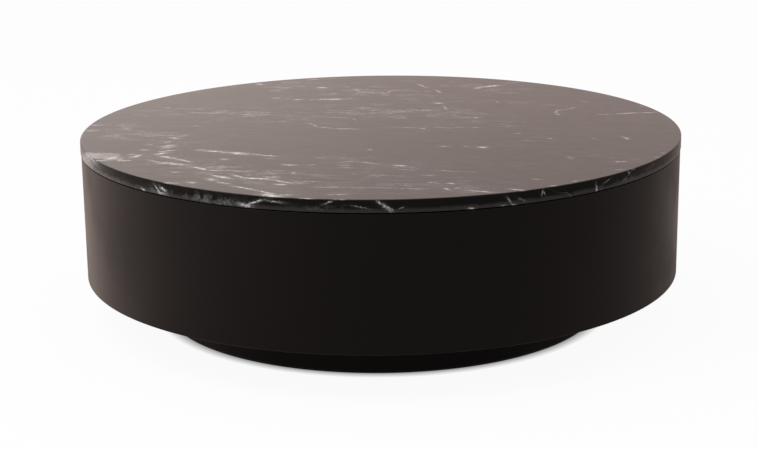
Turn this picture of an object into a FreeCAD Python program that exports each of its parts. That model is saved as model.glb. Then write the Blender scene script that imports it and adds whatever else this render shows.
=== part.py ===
# Round cocktail table: a loose stone slab on a lacquered plywood drum, over a recessed plinth.
# Millimetres, +Z up. The origin is on the floor under the table's centre, and -Y is the front.
import FreeCAD, Part
import math
import os

# Stone slab
STONE_THICKNESS = 20.0
STONE_OVERHANG = 1.0            # past the drum wall, all round
STONE_UPPER_ARRIS = 2.0         # rounding of the polished upper edge
STONE_LOWER_ARRIS = 1.5

# Silicone bumpers between slab and drum
BUMPER_DIAMETER = 12.0
BUMPER_HEIGHT = 1.5             # the dark joint under the slab
BUMPER_EDGE = 0.4
RIB_BUMPER_RADIUS = 200.0       # bumpers on the ribs, from the table's axis

# Drum: bent plywood wall round a frame of flat boards
DRUM_DIAMETER = 1014.0
DRUM_HEIGHT = 214.5
WALL_THICKNESS = 12.0
WALL_ARRIS = 1.0
BOARD_THICKNESS = 18.0          # rings, floor panel and ribs
TOP_RING_WIDTH = 100.0
POST_WIDTH = 60.0
POST_DEPTH = 30.0
GLUE_BLOCK_LEG = 30.0
GLUE_BLOCK_LENGTH = 80.0
GLUE_BLOCK_RADIUS = 230.0       # middle of a glue block, from the table's axis
RIB_SCREW_RADIUS = 130.0        # inner screw of each rib arm, from the table's axis

# Plinth: bent plywood band on two rings with blocks between them
PLINTH_DIAMETER = 750.0
PLINTH_HEIGHT = 72.0
PLINTH_WALL = 12.0
PLINTH_ARRIS = 1.0
PLINTH_FLOOR_GAP = 3.0
PLINTH_RING_WIDTH = 90.0
PLINTH_BLOCK_WIDTH = 60.0
PLINTH_BLOCK_DEPTH = 45.0

# Countersunk wood screws
SCREW_DIAMETER = 4.5
SCREW_HEAD_DIAMETER = 9.0
SCREW_LENGTH = 45.0
SCREW_TIP_COVER = 8.0           # wood left beyond the tip of a plinth screw
POST_SCREW_SPACING = 30.0
BLOCK_SCREW_SPACING = 24.0

# Bolts that hold the plinth to the drum
BOLT_DIAMETER = 8.0
BOLT_HEAD_ACROSS = 13.0
BOLT_HEAD_HEIGHT = 5.3
BOLT_PROJECTION = 3.0           # bolt end past its tee nut
BOLT_HOLE_ROOM = 0.5            # radial room of the bolt in the boards
WASHER_RIM = 8.0
WASHER_THICKNESS = 2.0
TEE_NUT_WALL = 1.2
TEE_NUT_LENGTH = 12.0
TEE_NUT_RIM = 6.0
TEE_NUT_FLANGE = 1.5

# Levelling feet
FOOT_DIAMETER = 32.0
FOOT_HEIGHT = 7.0
FOOT_RIM_HEIGHT = 2.5
FOOT_COLLAR_DIAMETER = 18.0
FOOT_EDGE = 0.8
FOOT_SOLE = 2.5                 # nylon under the stud's spigot
SPIGOT_DIAMETER = 6.0
STUD_DIAMETER = 8.0
STUD_HEX_ACROSS = 13.0
STUD_HEX_HEIGHT = 4.0
STUD_HEADROOM = 6.0             # air over the stud when it is fully screwed in
INSERT_WALL = 2.0
INSERT_LENGTH = 15.0
INSERT_RIM = 4.0
INSERT_FLANGE = 1.5

# Clearances
GLUE_GAP = 0.25                 # glue line between curved faces
HALVING_FIT = 0.15              # each side of a cross-halving slot
RIB_STEP_GAP = 0.5              # rib shoulder inside the top ring
SCREW_FIT = 0.1                 # radial, screw in wood
THREAD_FIT = 0.1                # radial, bolt or stud in its nut
PRESS_FIT = 0.1                 # radial, tee nut or insert in wood
SPIGOT_FIT = 0.1                # radial, spigot in the foot's socket
RUNNING_GAP = 0.3               # between flat faces that part or turn
TIP_CHAMFER = 1.0               # end of a bolt or stud

# Angles round the table, in degrees from +X towards the rear
SQUARE_ANGLES = (0, 90, 180, 270)
DIAGONAL_ANGLES = (45, 135, 225, 315)
BETWEEN_ANGLES = tuple(22.5 + 45 * step for step in range(8))
FOOT_PLACES = {45: "rear_right", 135: "rear_left", 225: "front_left", 315: "front_right"}

# Radii and heights that follow from the sizes above
drum_radius = DRUM_DIAMETER / 2
wall_inside = drum_radius - WALL_THICKNESS
board_radius = wall_inside - GLUE_GAP
ring_inside = wall_inside - TOP_RING_WIDTH
ring_middle = wall_inside - TOP_RING_WIDTH / 2
post_middle = wall_inside - POST_DEPTH / 2
plinth_radius = PLINTH_DIAMETER / 2
plinth_inside = plinth_radius - PLINTH_WALL
plinth_board_radius = plinth_inside - GLUE_GAP
plinth_ring_inside = plinth_inside - PLINTH_RING_WIDTH
plinth_ring_middle = plinth_inside - PLINTH_RING_WIDTH / 2
plinth_block_middle = plinth_inside - PLINTH_BLOCK_DEPTH / 2
bolt_radius = BOLT_DIAMETER / 2
tee_nut_radius = bolt_radius + THREAD_FIT + TEE_NUT_WALL
insert_radius = STUD_DIAMETER / 2 + THREAD_FIT + INSERT_WALL

spigot_bottom = FOOT_SOLE
hex_bottom = FOOT_HEIGHT + RUNNING_GAP
hex_top = hex_bottom + STUD_HEX_HEIGHT
insert_bottom = hex_top + RUNNING_GAP
lower_ring_bottom = insert_bottom + INSERT_FLANGE
lower_ring_top = lower_ring_bottom + BOARD_THICKNESS
plinth_top = PLINTH_FLOOR_GAP + PLINTH_HEIGHT
upper_ring_bottom = plinth_top - BOARD_THICKNESS
washer_bottom = upper_ring_bottom - WASHER_THICKNESS
panel_top = plinth_top + BOARD_THICKNESS
drum_top = plinth_top + DRUM_HEIGHT
top_ring_bottom = drum_top - BOARD_THICKNESS
stone_bottom = drum_top + BUMPER_HEIGHT

ORIGIN = FreeCAD.Vector(0, 0, 0)
UP = FreeCAD.Vector(0, 0, 1)


# Shaping helpers

def rounded_wire(corners):
    """Closed wire in the XZ plane through (x, z, rounding) corners, each rounded by a tangent arc."""
    points = [FreeCAD.Vector(x, 0, z) for x, z, rounding in corners]
    ends = []
    for index, (x, z, rounding) in enumerate(corners):
        here = points[index]
        to_last = (points[index - 1] - here).normalize()
        to_next = (points[(index + 1) % len(points)] - here).normalize()
        half_angle = to_last.getAngle(to_next) / 2
        reach = rounding / math.tan(half_angle)
        middle = here + (to_last + to_next).normalize() * (rounding / math.sin(half_angle) - rounding)
        ends.append((here + to_last * reach, middle, here + to_next * reach, rounding))
    edges = []
    for index, (start, middle, end, rounding) in enumerate(ends):
        if rounding > 0:
            edges.append(Part.Arc(start, middle, end).toShape())
        edges.append(Part.makeLine(end, ends[(index + 1) % len(ends)][0]))
    return Part.Wire(edges)


def turned(corners, first_angle=0.0, sweep=360.0):
    """Solid turned about Z from an outline of (radius, height, rounding) corners."""
    solid = Part.Face(rounded_wire(corners)).revolve(ORIGIN, UP, sweep)
    solid.rotate(ORIGIN, UP, first_angle)
    return solid


def ring(inside, outside, bottom, top):
    """Flat ring, or a disc where its inside is 0."""
    return turned([(inside, bottom, 0), (outside, bottom, 0), (outside, top, 0), (inside, top, 0)])


def hexagon(across_flats, bottom, top):
    """Upright hexagonal prism on the Z axis."""
    corner = across_flats / 2 / math.cos(math.pi / 6)
    angles = [math.radians(60 * side) for side in range(7)]
    outline = Part.makePolygon([FreeCAD.Vector(corner * math.cos(a), corner * math.sin(a), bottom) for a in angles])
    return Part.Face(outline).extrude(FreeCAD.Vector(0, 0, top - bottom))


def shank(diameter, bottom, top):
    """Round bar on the Z axis with a chamfered upper end."""
    radius = diameter / 2
    return turned([(0, bottom, 0), (radius, bottom, 0), (radius, top - TIP_CHAMFER, 0),
                   (radius - TIP_CHAMFER, top, 0), (0, top, 0)])


def placed(shape, angle, radius, sideways=0.0):
    """Copy of a shape moved out along X and sideways along Y, then turned about the table's axis."""
    copy = shape.copy()
    copy.translate(FreeCAD.Vector(radius, sideways, 0))
    copy.rotate(ORIGIN, UP, angle)
    return copy


def cut_all(shape, tools):
    """The shape with every tool cut from it."""
    return shape.cut(Part.makeCompound(tools))


def wood_screw(length, head_height, points_up, room=0.0):
    """Countersunk screw with its flat head at head_height; room widens it into the hole that takes it."""
    body = SCREW_DIAMETER / 2 + room
    head = SCREW_HEAD_DIAMETER / 2 + room
    screw = turned([(0, 0, 0), (head, 0, 0), (body, body - head, 0), (body, SCREW_DIAMETER - length, 0),
                    (0, -length - room, 0)])
    if points_up:
        screw.rotate(ORIGIN, FreeCAD.Vector(1, 0, 0), 180)
    screw.translate(FreeCAD.Vector(0, 0, head_height))
    return screw


def screw_set(places, length, head_height, points_up):
    """Screws, and the holes for them, at (angle, radius, sideways) places."""
    screw = wood_screw(length, head_height, points_up)
    hole = wood_screw(length, head_height, points_up, SCREW_FIT)
    return [placed(screw, *place) for place in places], [placed(hole, *place) for place in places]


# Fastener places, as (angle, radius, sideways)

post_screws = [(angle, post_middle, side * POST_SCREW_SPACING / 2)
               for angle in SQUARE_ANGLES for side in (-1, 1)]
rib_end_screws = [(angle, ring_middle, 0) for angle in DIAGONAL_ANGLES]
rib_inner_screws = [(angle, RIB_SCREW_RADIUS, 0) for angle in DIAGONAL_ANGLES]
block_screws_down = [(angle, plinth_block_middle, -BLOCK_SCREW_SPACING / 2) for angle in BETWEEN_ANGLES]
block_screws_up = [(angle, plinth_block_middle, BLOCK_SCREW_SPACING / 2) for angle in BETWEEN_ANGLES]

plinth_screw_length = BOARD_THICKNESS + upper_ring_bottom - lower_ring_top - SCREW_TIP_COVER
ring_screws, ring_screw_holes = screw_set(post_screws + rib_end_screws, SCREW_LENGTH, drum_top, False)
panel_screws, panel_screw_holes = screw_set(post_screws + rib_end_screws + rib_inner_screws,
                                            SCREW_LENGTH, plinth_top, True)
upper_screws, upper_screw_holes = screw_set(block_screws_down, plinth_screw_length, plinth_top, False)
lower_screws, lower_screw_holes = screw_set(block_screws_up, plinth_screw_length, lower_ring_bottom, True)
drum_holes = ring_screw_holes + panel_screw_holes
plinth_holes = upper_screw_holes + lower_screw_holes
bolt_hole = ring(0, bolt_radius + BOLT_HOLE_ROOM, upper_ring_bottom, panel_top)


# Stone slab and its bumpers

def make_stone_top():
    """Solid slab with eased arrises, a little wider than the drum."""
    radius = drum_radius + STONE_OVERHANG
    top = stone_bottom + STONE_THICKNESS
    return turned([(0, stone_bottom, 0), (radius, stone_bottom, STONE_LOWER_ARRIS),
                   (radius, top, STONE_UPPER_ARRIS), (0, top, 0)])


def make_stone_bumpers():
    """Clear discs stuck on the top ring and on the ribs; the slab lies on them by its own weight."""
    radius = BUMPER_DIAMETER / 2
    disc = turned([(0, drum_top, 0), (radius, drum_top, 0), (radius, stone_bottom, BUMPER_EDGE),
                   (0, stone_bottom, 0)])
    on_ring = [placed(disc, angle, ring_middle) for angle in BETWEEN_ANGLES]
    on_ribs = [placed(disc, angle, RIB_BUMPER_RADIUS) for angle in DIAGONAL_ANGLES]
    return Part.makeCompound(on_ring + on_ribs)


# Drum

def make_wall_half(first_angle):
    """Half of the bent wall; the halves butt at the left and right of the table."""
    return turned([(wall_inside, plinth_top, 0), (drum_radius, plinth_top, WALL_ARRIS),
                   (drum_radius, drum_top, WALL_ARRIS), (wall_inside, drum_top, 0)], first_angle, 180)


def make_top_ring():
    """Ring under the slab's rim, flush with the wall's upper edge."""
    return cut_all(ring(ring_inside, board_radius, top_ring_bottom, drum_top), ring_screw_holes)


def make_bottom_panel():
    """Round floor of the drum, with its screw holes and a stepped hole for each tee nut and bolt."""
    nut_bore = ring(0, tee_nut_radius + PRESS_FIT, panel_top - TEE_NUT_LENGTH, panel_top)
    stepped_hole = bolt_hole.fuse(nut_bore)
    holes = [placed(stepped_hole, angle, plinth_ring_middle) for angle in SQUARE_ANGLES]
    return cut_all(ring(0, board_radius, plinth_top, panel_top), panel_screw_holes + holes)


def make_cross_rib(angle, slot_is_up):
    """Rib across the drum: its ends go under the top ring and its middle rises through it.

    The two ribs cross at the middle in a halving joint: one is slotted from above, the other from below.
    """
    shoulder = ring_inside - RIB_STEP_GAP
    outline = rounded_wire([(-wall_inside, panel_top, 0), (wall_inside, panel_top, 0),
                            (wall_inside, top_ring_bottom, 0), (shoulder, top_ring_bottom, 0),
                            (shoulder, drum_top, 0), (-shoulder, drum_top, 0),
                            (-shoulder, top_ring_bottom, 0), (-wall_inside, top_ring_bottom, 0)])
    board = Part.Face(outline).extrude(FreeCAD.Vector(0, BOARD_THICKNESS, 0))
    board.translate(FreeCAD.Vector(0, -BOARD_THICKNESS / 2, 0))
    board = board.common(ring(0, board_radius, panel_top, drum_top))
    middle = (panel_top + drum_top) / 2
    slot_width = BOARD_THICKNESS + 2 * HALVING_FIT
    slot_bottom = middle if slot_is_up else panel_top
    slot = Part.makeBox(slot_width, BOARD_THICKNESS, (drum_top - panel_top) / 2,
                        FreeCAD.Vector(-slot_width / 2, -BOARD_THICKNESS / 2, slot_bottom))
    return cut_all(placed(board.cut(slot), angle, 0), drum_holes)


def make_post(angle):
    """Upright block glued to the wall, with its back cut to the wall's curve."""
    block = Part.makeBox(POST_DEPTH, POST_WIDTH, top_ring_bottom - panel_top,
                         FreeCAD.Vector(wall_inside - POST_DEPTH, -POST_WIDTH / 2, panel_top))
    block = block.common(ring(0, board_radius, panel_top, top_ring_bottom))
    return cut_all(placed(block, angle, 0), drum_holes)


def make_glue_block(angle, side):
    """Three-cornered block glued into the corner between a rib and the panel."""
    face = BOARD_THICKNESS / 2
    corners = [(0, 0), (GLUE_BLOCK_LEG, 0), (0, GLUE_BLOCK_LEG), (0, 0)]
    start = GLUE_BLOCK_RADIUS - GLUE_BLOCK_LENGTH / 2
    outline = Part.makePolygon([FreeCAD.Vector(start, side * (face + out), panel_top + rise)
                                for out, rise in corners])
    block = Part.Face(outline).extrude(FreeCAD.Vector(GLUE_BLOCK_LENGTH, 0, 0))
    return placed(block, angle, 0)


# Plinth

def make_plinth_band():
    """Recessed band, standing just clear of the floor."""
    return turned([(plinth_inside, PLINTH_FLOOR_GAP, 0), (plinth_radius, PLINTH_FLOOR_GAP, PLINTH_ARRIS),
                   (plinth_radius, plinth_top, 0), (plinth_inside, plinth_top, 0)])


def make_plinth_top_ring():
    """Ring that the bolts pull up against the drum."""
    holes = [placed(bolt_hole, angle, plinth_ring_middle) for angle in SQUARE_ANGLES]
    board = ring(plinth_ring_inside, plinth_board_radius, upper_ring_bottom, plinth_top)
    return cut_all(board, upper_screw_holes + holes)


def make_plinth_bottom_ring():
    """Ring that takes the feet, set up inside the band."""
    bore = ring(0, insert_radius + PRESS_FIT, lower_ring_bottom, lower_ring_top)
    holes = [placed(bore, angle, plinth_ring_middle) for angle in DIAGONAL_ANGLES]
    board = ring(plinth_ring_inside, plinth_board_radius, lower_ring_bottom, lower_ring_top)
    return cut_all(board, lower_screw_holes + holes)


def make_plinth_block(angle):
    """Block between the rings, with its back cut to the band's curve."""
    block = Part.makeBox(PLINTH_BLOCK_DEPTH, PLINTH_BLOCK_WIDTH, upper_ring_bottom - lower_ring_top,
                         FreeCAD.Vector(plinth_inside - PLINTH_BLOCK_DEPTH, -PLINTH_BLOCK_WIDTH / 2,
                                        lower_ring_top))
    block = block.common(ring(0, plinth_board_radius, lower_ring_top, upper_ring_bottom))
    return cut_all(placed(block, angle, 0), plinth_holes)


# Bolts, washers and tee nuts

def make_bolt():
    """Hexagon bolt pushed up through plinth and panel into a tee nut."""
    end = panel_top + TEE_NUT_FLANGE + BOLT_PROJECTION
    head = hexagon(BOLT_HEAD_ACROSS, washer_bottom - BOLT_HEAD_HEIGHT, washer_bottom)
    return head.fuse(shank(BOLT_DIAMETER, washer_bottom, end)).removeSplitter()


def make_washer():
    """Wide washer under the bolt's head."""
    hole = bolt_radius + BOLT_HOLE_ROOM
    return ring(hole, hole + WASHER_RIM, washer_bottom, upper_ring_bottom)


def make_tee_nut():
    """Flanged nut let into the panel from above."""
    hole = bolt_radius + THREAD_FIT
    flange_top = panel_top + TEE_NUT_FLANGE
    return turned([(hole, panel_top - TEE_NUT_LENGTH, 0), (tee_nut_radius, panel_top - TEE_NUT_LENGTH, 0),
                   (tee_nut_radius, panel_top, 0), (tee_nut_radius + TEE_NUT_RIM, panel_top, 0),
                   (tee_nut_radius + TEE_NUT_RIM, flange_top, 0), (hole, flange_top, 0)])


def bolt_group(shape):
    """One of the shape at each bolt."""
    return Part.makeCompound([placed(shape, angle, plinth_ring_middle) for angle in SQUARE_ANGLES])


# Levelling feet

def make_insert():
    """Threaded insert pressed up into the ring, with its flange below to carry the load."""
    hole = STUD_DIAMETER / 2 + THREAD_FIT
    insert_top = lower_ring_bottom + INSERT_LENGTH
    return turned([(hole, insert_bottom, 0), (insert_radius + INSERT_RIM, insert_bottom, 0),
                   (insert_radius + INSERT_RIM, lower_ring_bottom, 0), (insert_radius, lower_ring_bottom, 0),
                   (insert_radius, insert_top, 0), (hole, insert_top, 0)])


def make_foot_stud():
    """Stud that a spanner turns by its hexagon; its spigot swivels in the foot's base."""
    spigot = ring(0, SPIGOT_DIAMETER / 2, spigot_bottom, hex_bottom)
    hexagon_part = hexagon(STUD_HEX_ACROSS, hex_bottom, hex_top)
    thread = shank(STUD_DIAMETER, hex_top, upper_ring_bottom - STUD_HEADROOM)
    return spigot.fuse([hexagon_part, thread]).removeSplitter()


def make_foot_base():
    """Nylon base with a sloping shoulder and a socket for the stud's spigot."""
    radius = FOOT_DIAMETER / 2
    socket = SPIGOT_DIAMETER / 2 + SPIGOT_FIT
    return turned([(0, 0, 0), (radius, 0, FOOT_EDGE), (radius, FOOT_RIM_HEIGHT, FOOT_EDGE),
                   (FOOT_COLLAR_DIAMETER / 2, FOOT_HEIGHT, FOOT_EDGE), (socket, FOOT_HEIGHT, 0),
                   (socket, spigot_bottom, 0), (0, spigot_bottom, 0)])


# The assembly, by node name

nodes = {
    "stone_top": make_stone_top(),
    "stone_bumpers": make_stone_bumpers(),
    "wall_front": make_wall_half(180),
    "wall_rear": make_wall_half(0),
    "top_ring": make_top_ring(),
    "bottom_panel": make_bottom_panel(),
    "cross_rib_slot_up": make_cross_rib(45, True),
    "cross_rib_slot_down": make_cross_rib(135, False),
    "seam_post_right": make_post(0),
    "post_rear": make_post(90),
    "seam_post_left": make_post(180),
    "post_front": make_post(270),
    "ring_screws": Part.makeCompound(ring_screws),
    "panel_screws": Part.makeCompound(panel_screws),
    "plinth_band": make_plinth_band(),
    "plinth_top_ring": make_plinth_top_ring(),
    "plinth_bottom_ring": make_plinth_bottom_ring(),
    "plinth_screws": Part.makeCompound(upper_screws + lower_screws),
    "connector_bolts": bolt_group(make_bolt()),
    "bolt_washers": bolt_group(make_washer()),
    "tee_nuts": bolt_group(make_tee_nut()),
    "foot_inserts": Part.makeCompound([placed(make_insert(), angle, plinth_ring_middle)
                                       for angle in DIAGONAL_ANGLES]),
}
corners_of_ribs = [(angle, side) for angle in DIAGONAL_ANGLES for side in (-1, 1)]
for number, (angle, side) in enumerate(corners_of_ribs, start=1):
    nodes[f"glue_block_{number}"] = make_glue_block(angle, side)
for number, angle in enumerate(BETWEEN_ANGLES, start=1):
    nodes[f"plinth_block_{number}"] = make_plinth_block(angle)
for angle, place in FOOT_PLACES.items():
    nodes[f"foot_stud_{place}"] = placed(make_foot_stud(), angle, plinth_ring_middle)
    nodes[f"foot_base_{place}"] = placed(make_foot_base(), angle, plinth_ring_middle)

os.makedirs("parts", exist_ok=True)
for name, shape in nodes.items():
    shape.exportStep(f"parts/{name}.step")
    print(f"{name}: {len(shape.Solids)} solids, {shape.Volume / 1000:.1f} cm3, valid {shape.isValid()}")
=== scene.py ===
# %% [markdown]
# # A round cocktail table: black stone slab, lacquered drum, recessed plinth
#
# The table is a loose disc of black, white-veined stone on a drum of bent plywood, sprayed satin black. The
# drum stands on a smaller plinth in a deeper, matt black, and four levelling feet hide under that plinth.
#
# The construction comes in as a fixed frame: every board, screw and foot is already there, at its real
# size, in metres, with its bodies and joints. This lesson gives each surface its finish. It also replaces
# the pieces whose shape shows, which are the slab, the wall, the plinth band and the hardware, with
# surfaces worked out in numpy.

# %% Load the frame
import bpy
import numpy as np
from mathutils import Matrix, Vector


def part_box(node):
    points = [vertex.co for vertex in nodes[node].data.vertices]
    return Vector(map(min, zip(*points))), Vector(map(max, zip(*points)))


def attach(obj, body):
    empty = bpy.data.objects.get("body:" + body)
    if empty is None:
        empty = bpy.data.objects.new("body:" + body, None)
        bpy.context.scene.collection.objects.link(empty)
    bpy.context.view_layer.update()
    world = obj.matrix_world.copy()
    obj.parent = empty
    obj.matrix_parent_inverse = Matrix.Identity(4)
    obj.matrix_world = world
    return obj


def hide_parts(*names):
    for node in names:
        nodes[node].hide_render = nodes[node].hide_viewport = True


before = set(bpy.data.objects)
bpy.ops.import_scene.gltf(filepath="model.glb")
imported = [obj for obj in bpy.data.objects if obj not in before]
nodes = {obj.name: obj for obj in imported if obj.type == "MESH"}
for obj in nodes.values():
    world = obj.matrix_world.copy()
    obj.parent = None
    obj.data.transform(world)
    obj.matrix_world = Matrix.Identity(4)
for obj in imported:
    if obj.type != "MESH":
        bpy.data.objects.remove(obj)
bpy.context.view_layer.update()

# %% [markdown]
# ## Main sizes
#
# The large sizes are read from the frame, so the surfaces made below always fit it. A round node's box is
# symmetrical about the table's axis, so half its width is its radius.

# %% Read the main sizes from the frame
MM = 0.001


def heights_of(node):
    """Lowest and highest point of a node."""
    low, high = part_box(node)
    return low.z, high.z


def radius_of(node):
    """Radius of a round node about the table's axis: half the width of its box."""
    low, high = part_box(node)
    return (high.x - low.x) / 2


stone_radius = radius_of("stone_top")
stone_bottom, stone_top = heights_of("stone_top")
drum_radius = radius_of("wall_front")
drum_bottom, drum_top = heights_of("wall_front")
plinth_radius = radius_of("plinth_band")
plinth_bottom, plinth_top = heights_of("plinth_band")
print(f"slab radius {stone_radius:.3f} m, drum {drum_radius:.3f} m, plinth {plinth_radius:.3f} m")

# %% [markdown]
# ## Camera
#
# The view looks down on the table from about seventeen degrees above the floor, through a long lens, which
# is why the round slab shows as a flat ellipse and the drum's sides look parallel. A camera can be placed
# by hand and nudged until it looks right. Here it is set by a distance, four angles and a focal length that
# were fitted to the ellipses of slab and plinth, because the same numbers later turn a point of the picture
# into a point on the stone.

# %% Place the camera
IMAGE_WIDTH = 757
IMAGE_HEIGHT = 449
SENSOR_WIDTH = 36.0
FOCAL_PIXELS = 1742.0
CAMERA_DISTANCE = 3.066
CAMERA_ELEVATION = np.radians(17.446)
CAMERA_PITCH = np.radians(14.937)
CAMERA_YAW = np.radians(-0.102)
CAMERA_ROLL = np.radians(-0.638)

camera_place = CAMERA_DISTANCE * np.array([0.0, -np.cos(CAMERA_ELEVATION), np.sin(CAMERA_ELEVATION)])
forward = np.array([np.sin(CAMERA_YAW) * np.cos(CAMERA_PITCH), np.cos(CAMERA_YAW) * np.cos(CAMERA_PITCH),
                    -np.sin(CAMERA_PITCH)])
level = np.array([np.cos(CAMERA_YAW), -np.sin(CAMERA_YAW), 0.0])
upright = np.cross(level, forward)
picture_right = level * np.cos(CAMERA_ROLL) + upright * np.sin(CAMERA_ROLL)
picture_up = upright * np.cos(CAMERA_ROLL) - level * np.sin(CAMERA_ROLL)

camera_matrix = np.eye(4)
camera_matrix[:3] = np.column_stack([picture_right, picture_up, -forward, camera_place])
camera = bpy.data.objects.new("camera", bpy.data.cameras.new("camera"))
bpy.context.scene.collection.objects.link(camera)
camera.data.sensor_fit = "HORIZONTAL"
camera.data.sensor_width = SENSOR_WIDTH
camera.data.lens = SENSOR_WIDTH * FOCAL_PIXELS / IMAGE_WIDTH
camera.matrix_world = Matrix(camera_matrix.tolist())
bpy.context.scene.camera = camera
print(f"lens {camera.data.lens:.1f} mm, {CAMERA_DISTANCE:.2f} m from the table")

# %% [markdown]
# ## Small helpers for shader nodes
#
# Every finish below is a graph of shader nodes. Written out in full, each node takes four or five lines, so
# one helper adds a node, sets it and links it, and a few short names stand for the nodes used most. A
# socket given as an input is linked, and anything else is a fixed value. The short names need no tree: a
# node goes into the tree that its linked inputs come from.

# %% Node helpers


def link(source, target):
    """Links a node's output to an input in the same tree."""
    source.id_data.links.new(source, target)


def put(tree, kind, inputs=None, **settings):
    """Adds a node, sets its own settings first, then links or fills its inputs, by name or number."""
    node = tree.nodes.new(kind)
    for name, value in settings.items():
        setattr(node, name, value)
    for key, value in (inputs or {}).items():
        if isinstance(value, bpy.types.NodeSocket):
            link(value, node.inputs[key])
        else:
            node.inputs[key].default_value = value
    return node


def join(kind, inputs, **settings):
    """Adds a node to the tree that its linked inputs come from."""
    tree = next(value.id_data for value in inputs.values() if isinstance(value, bpy.types.NodeSocket))
    return put(tree, kind, inputs, **settings)


def maths(operation, *values):
    """One Math node."""
    return join("ShaderNodeMath", dict(enumerate(values)), operation=operation).outputs[0]


def vector_maths(operation, *values):
    """One Vector Math node; a dot product or a length comes out of its value socket."""
    node = join("ShaderNodeVectorMath", dict(enumerate(values)), operation=operation)
    return node.outputs["Value" if operation in ("DOT_PRODUCT", "LENGTH") else "Vector"]


def ramp(value, start, end, low=0.0, high=1.0):
    """Smooth step of a value: low at start, high at end."""
    limits = {"Value": value, "From Min": start, "From Max": end, "To Min": low, "To Max": high}
    return join("ShaderNodeMapRange", limits, interpolation_type="SMOOTHSTEP").outputs["Result"]


def between(share, low, high):
    """Smooth step from low to high while a share goes from nothing to the whole."""
    return ramp(share, 0.0, 1.0, low, high)


def spread(cloud, low=0.0, high=1.0):
    """A noise, most of which lies between 0.3 and 0.7, spread smoothly from low to high."""
    return ramp(cloud, 0.3, 0.7, low, high)


def mix(factor, first, second):
    """Mix of two colours."""
    return join("ShaderNodeMix", {0: factor, 6: first, 7: second}, data_type="RGBA").outputs[2]


def noise(position, scale, detail=2.0, output="Fac"):
    """Cloudy noise with so many features to the metre."""
    inputs = {"Vector": position, "Scale": scale, "Detail": detail}
    return join("ShaderNodeTexNoise", inputs).outputs[output]


def grey(value):
    """A neutral colour."""
    return (value, value, value, 1.0)


# %% Groups and materials
ORIGIN = (0.0, 0.0, 0.0)


def new_group(name, inputs, outputs):
    """A shader node group with named sockets; gives its tree, its inputs to read and its outputs to fill."""
    tree = bpy.data.node_groups.new(name, "ShaderNodeTree")
    for socket, value in inputs.items():
        kind = "NodeSocketVector" if isinstance(value, tuple) else "NodeSocketFloat"
        tree.interface.new_socket(socket, in_out="INPUT", socket_type=kind).default_value = value
    for socket in outputs:
        tree.interface.new_socket(socket, in_out="OUTPUT", socket_type="NodeSocketFloat")
    given = tree.nodes.new("NodeGroupInput").outputs
    result = tree.nodes.new("NodeGroupOutput").inputs
    return tree, given, result


def use(group, **inputs):
    """Places a group beside the nodes that feed it; underscores in the input names stand for spaces."""
    named = {name.replace("_", " "): value for name, value in inputs.items()}
    return join("ShaderNodeGroup", named, node_tree=group).outputs


def new_material(name, **constants):
    """A material with one Principled shader; the constants go on the shader's own sockets."""
    material = bpy.data.materials.new(name)
    material.use_nodes = True
    tree = material.node_tree
    shader = tree.nodes["Principled BSDF"]
    for socket, value in constants.items():
        shader.inputs[socket.replace("_", " ")].default_value = value
    position = put(tree, "ShaderNodeTexCoord").outputs["Object"]
    return material, shader, position


def finish_shader(shader, colour, roughness, height=None, depth=0.0):
    """Links what varies over the surface: colour, roughness and, as a bump, a height times a depth."""
    link(colour, shader.inputs["Base Color"])
    link(roughness, shader.inputs["Roughness"])
    if height is not None:
        bump = join("ShaderNodeBump", {"Height": height, "Distance": depth, "Strength": 1.0})
        link(bump.outputs["Normal"], shader.inputs["Normal"])


print("node helpers ready")

# %% [markdown]
# ## Studio
#
# A product picture of this kind is taken on white paper, under soft light. One large softbox hangs up and
# to the left, and the world is the pale studio round it. The paper has to show pure white without any more
# light on the table, so most of what the camera sees of it is its own white, at strength one, and the rest
# is plain diffuse paper that takes the table's shadow. Under the plinth, shade is painted into the paper: its
# own white fades out and its colour is painted dark, for the low gap that no light gets into. Round its foot
# the own white comes back over a soft contact shadow, painted in where the own white fades and real in the
# diffuse paper that shows there. What polished surfaces mirror is a slightly warm white, full on the left
# and behind, and dimmer on the right and in front, where the studio has no lamps.

# %% What polished surfaces see of the studio
BRIGHT_SIDE = (-0.8, 0.6, 0.0)

bright_side, side_in, side_out = new_group(
    "bright_side", {"Direction": ORIGIN, "Start": 0.0, "Full": 1.0}, ["Share"])
level_direction = vector_maths("MULTIPLY", side_in["Direction"], (1.0, 1.0, 0.0))
level_direction = vector_maths("NORMALIZE", level_direction)
towards_side = vector_maths("DOT_PRODUCT", level_direction, BRIGHT_SIDE)
link(ramp(towards_side, side_in["Start"], side_in["Full"]), side_out["Share"])


def ray_masks(tree):
    """Two masks: what the camera sees straight, and what it sees mirrored or through something clear."""
    rays = put(tree, "ShaderNodeLightPath").outputs
    return rays["Is Camera Ray"], maths("MAXIMUM", rays["Is Glossy Ray"], rays["Is Transmission Ray"])


print("bright side towards", BRIGHT_SIDE)

# %% World
FILL = grey(0.72)
WORLD_BRIGHT = (1.0, 0.85, 0.785, 1.0)
WORLD_DIM = (0.71, 0.57, 0.53, 1.0)
WORLD_START, WORLD_FULL = 0.5, 0.8

bpy.context.scene.view_settings.view_transform = "Standard"
world = bpy.data.worlds.new("studio")
bpy.context.scene.world = world
world.use_nodes = True
world_tree = world.node_tree
seen, mirrored = ray_masks(world_tree)
direction = put(world_tree, "ShaderNodeTexCoord").outputs["Generated"]
share = use(bright_side, Direction=direction, Start=WORLD_START, Full=WORLD_FULL)["Share"]
surround = mix(mirrored, FILL, mix(share, WORLD_DIM, WORLD_BRIGHT))
surround = mix(seen, surround, grey(1.0))
link(surround, world_tree.nodes["Background"].inputs["Color"])
print("world of", len(world_tree.nodes), "nodes")

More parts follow.
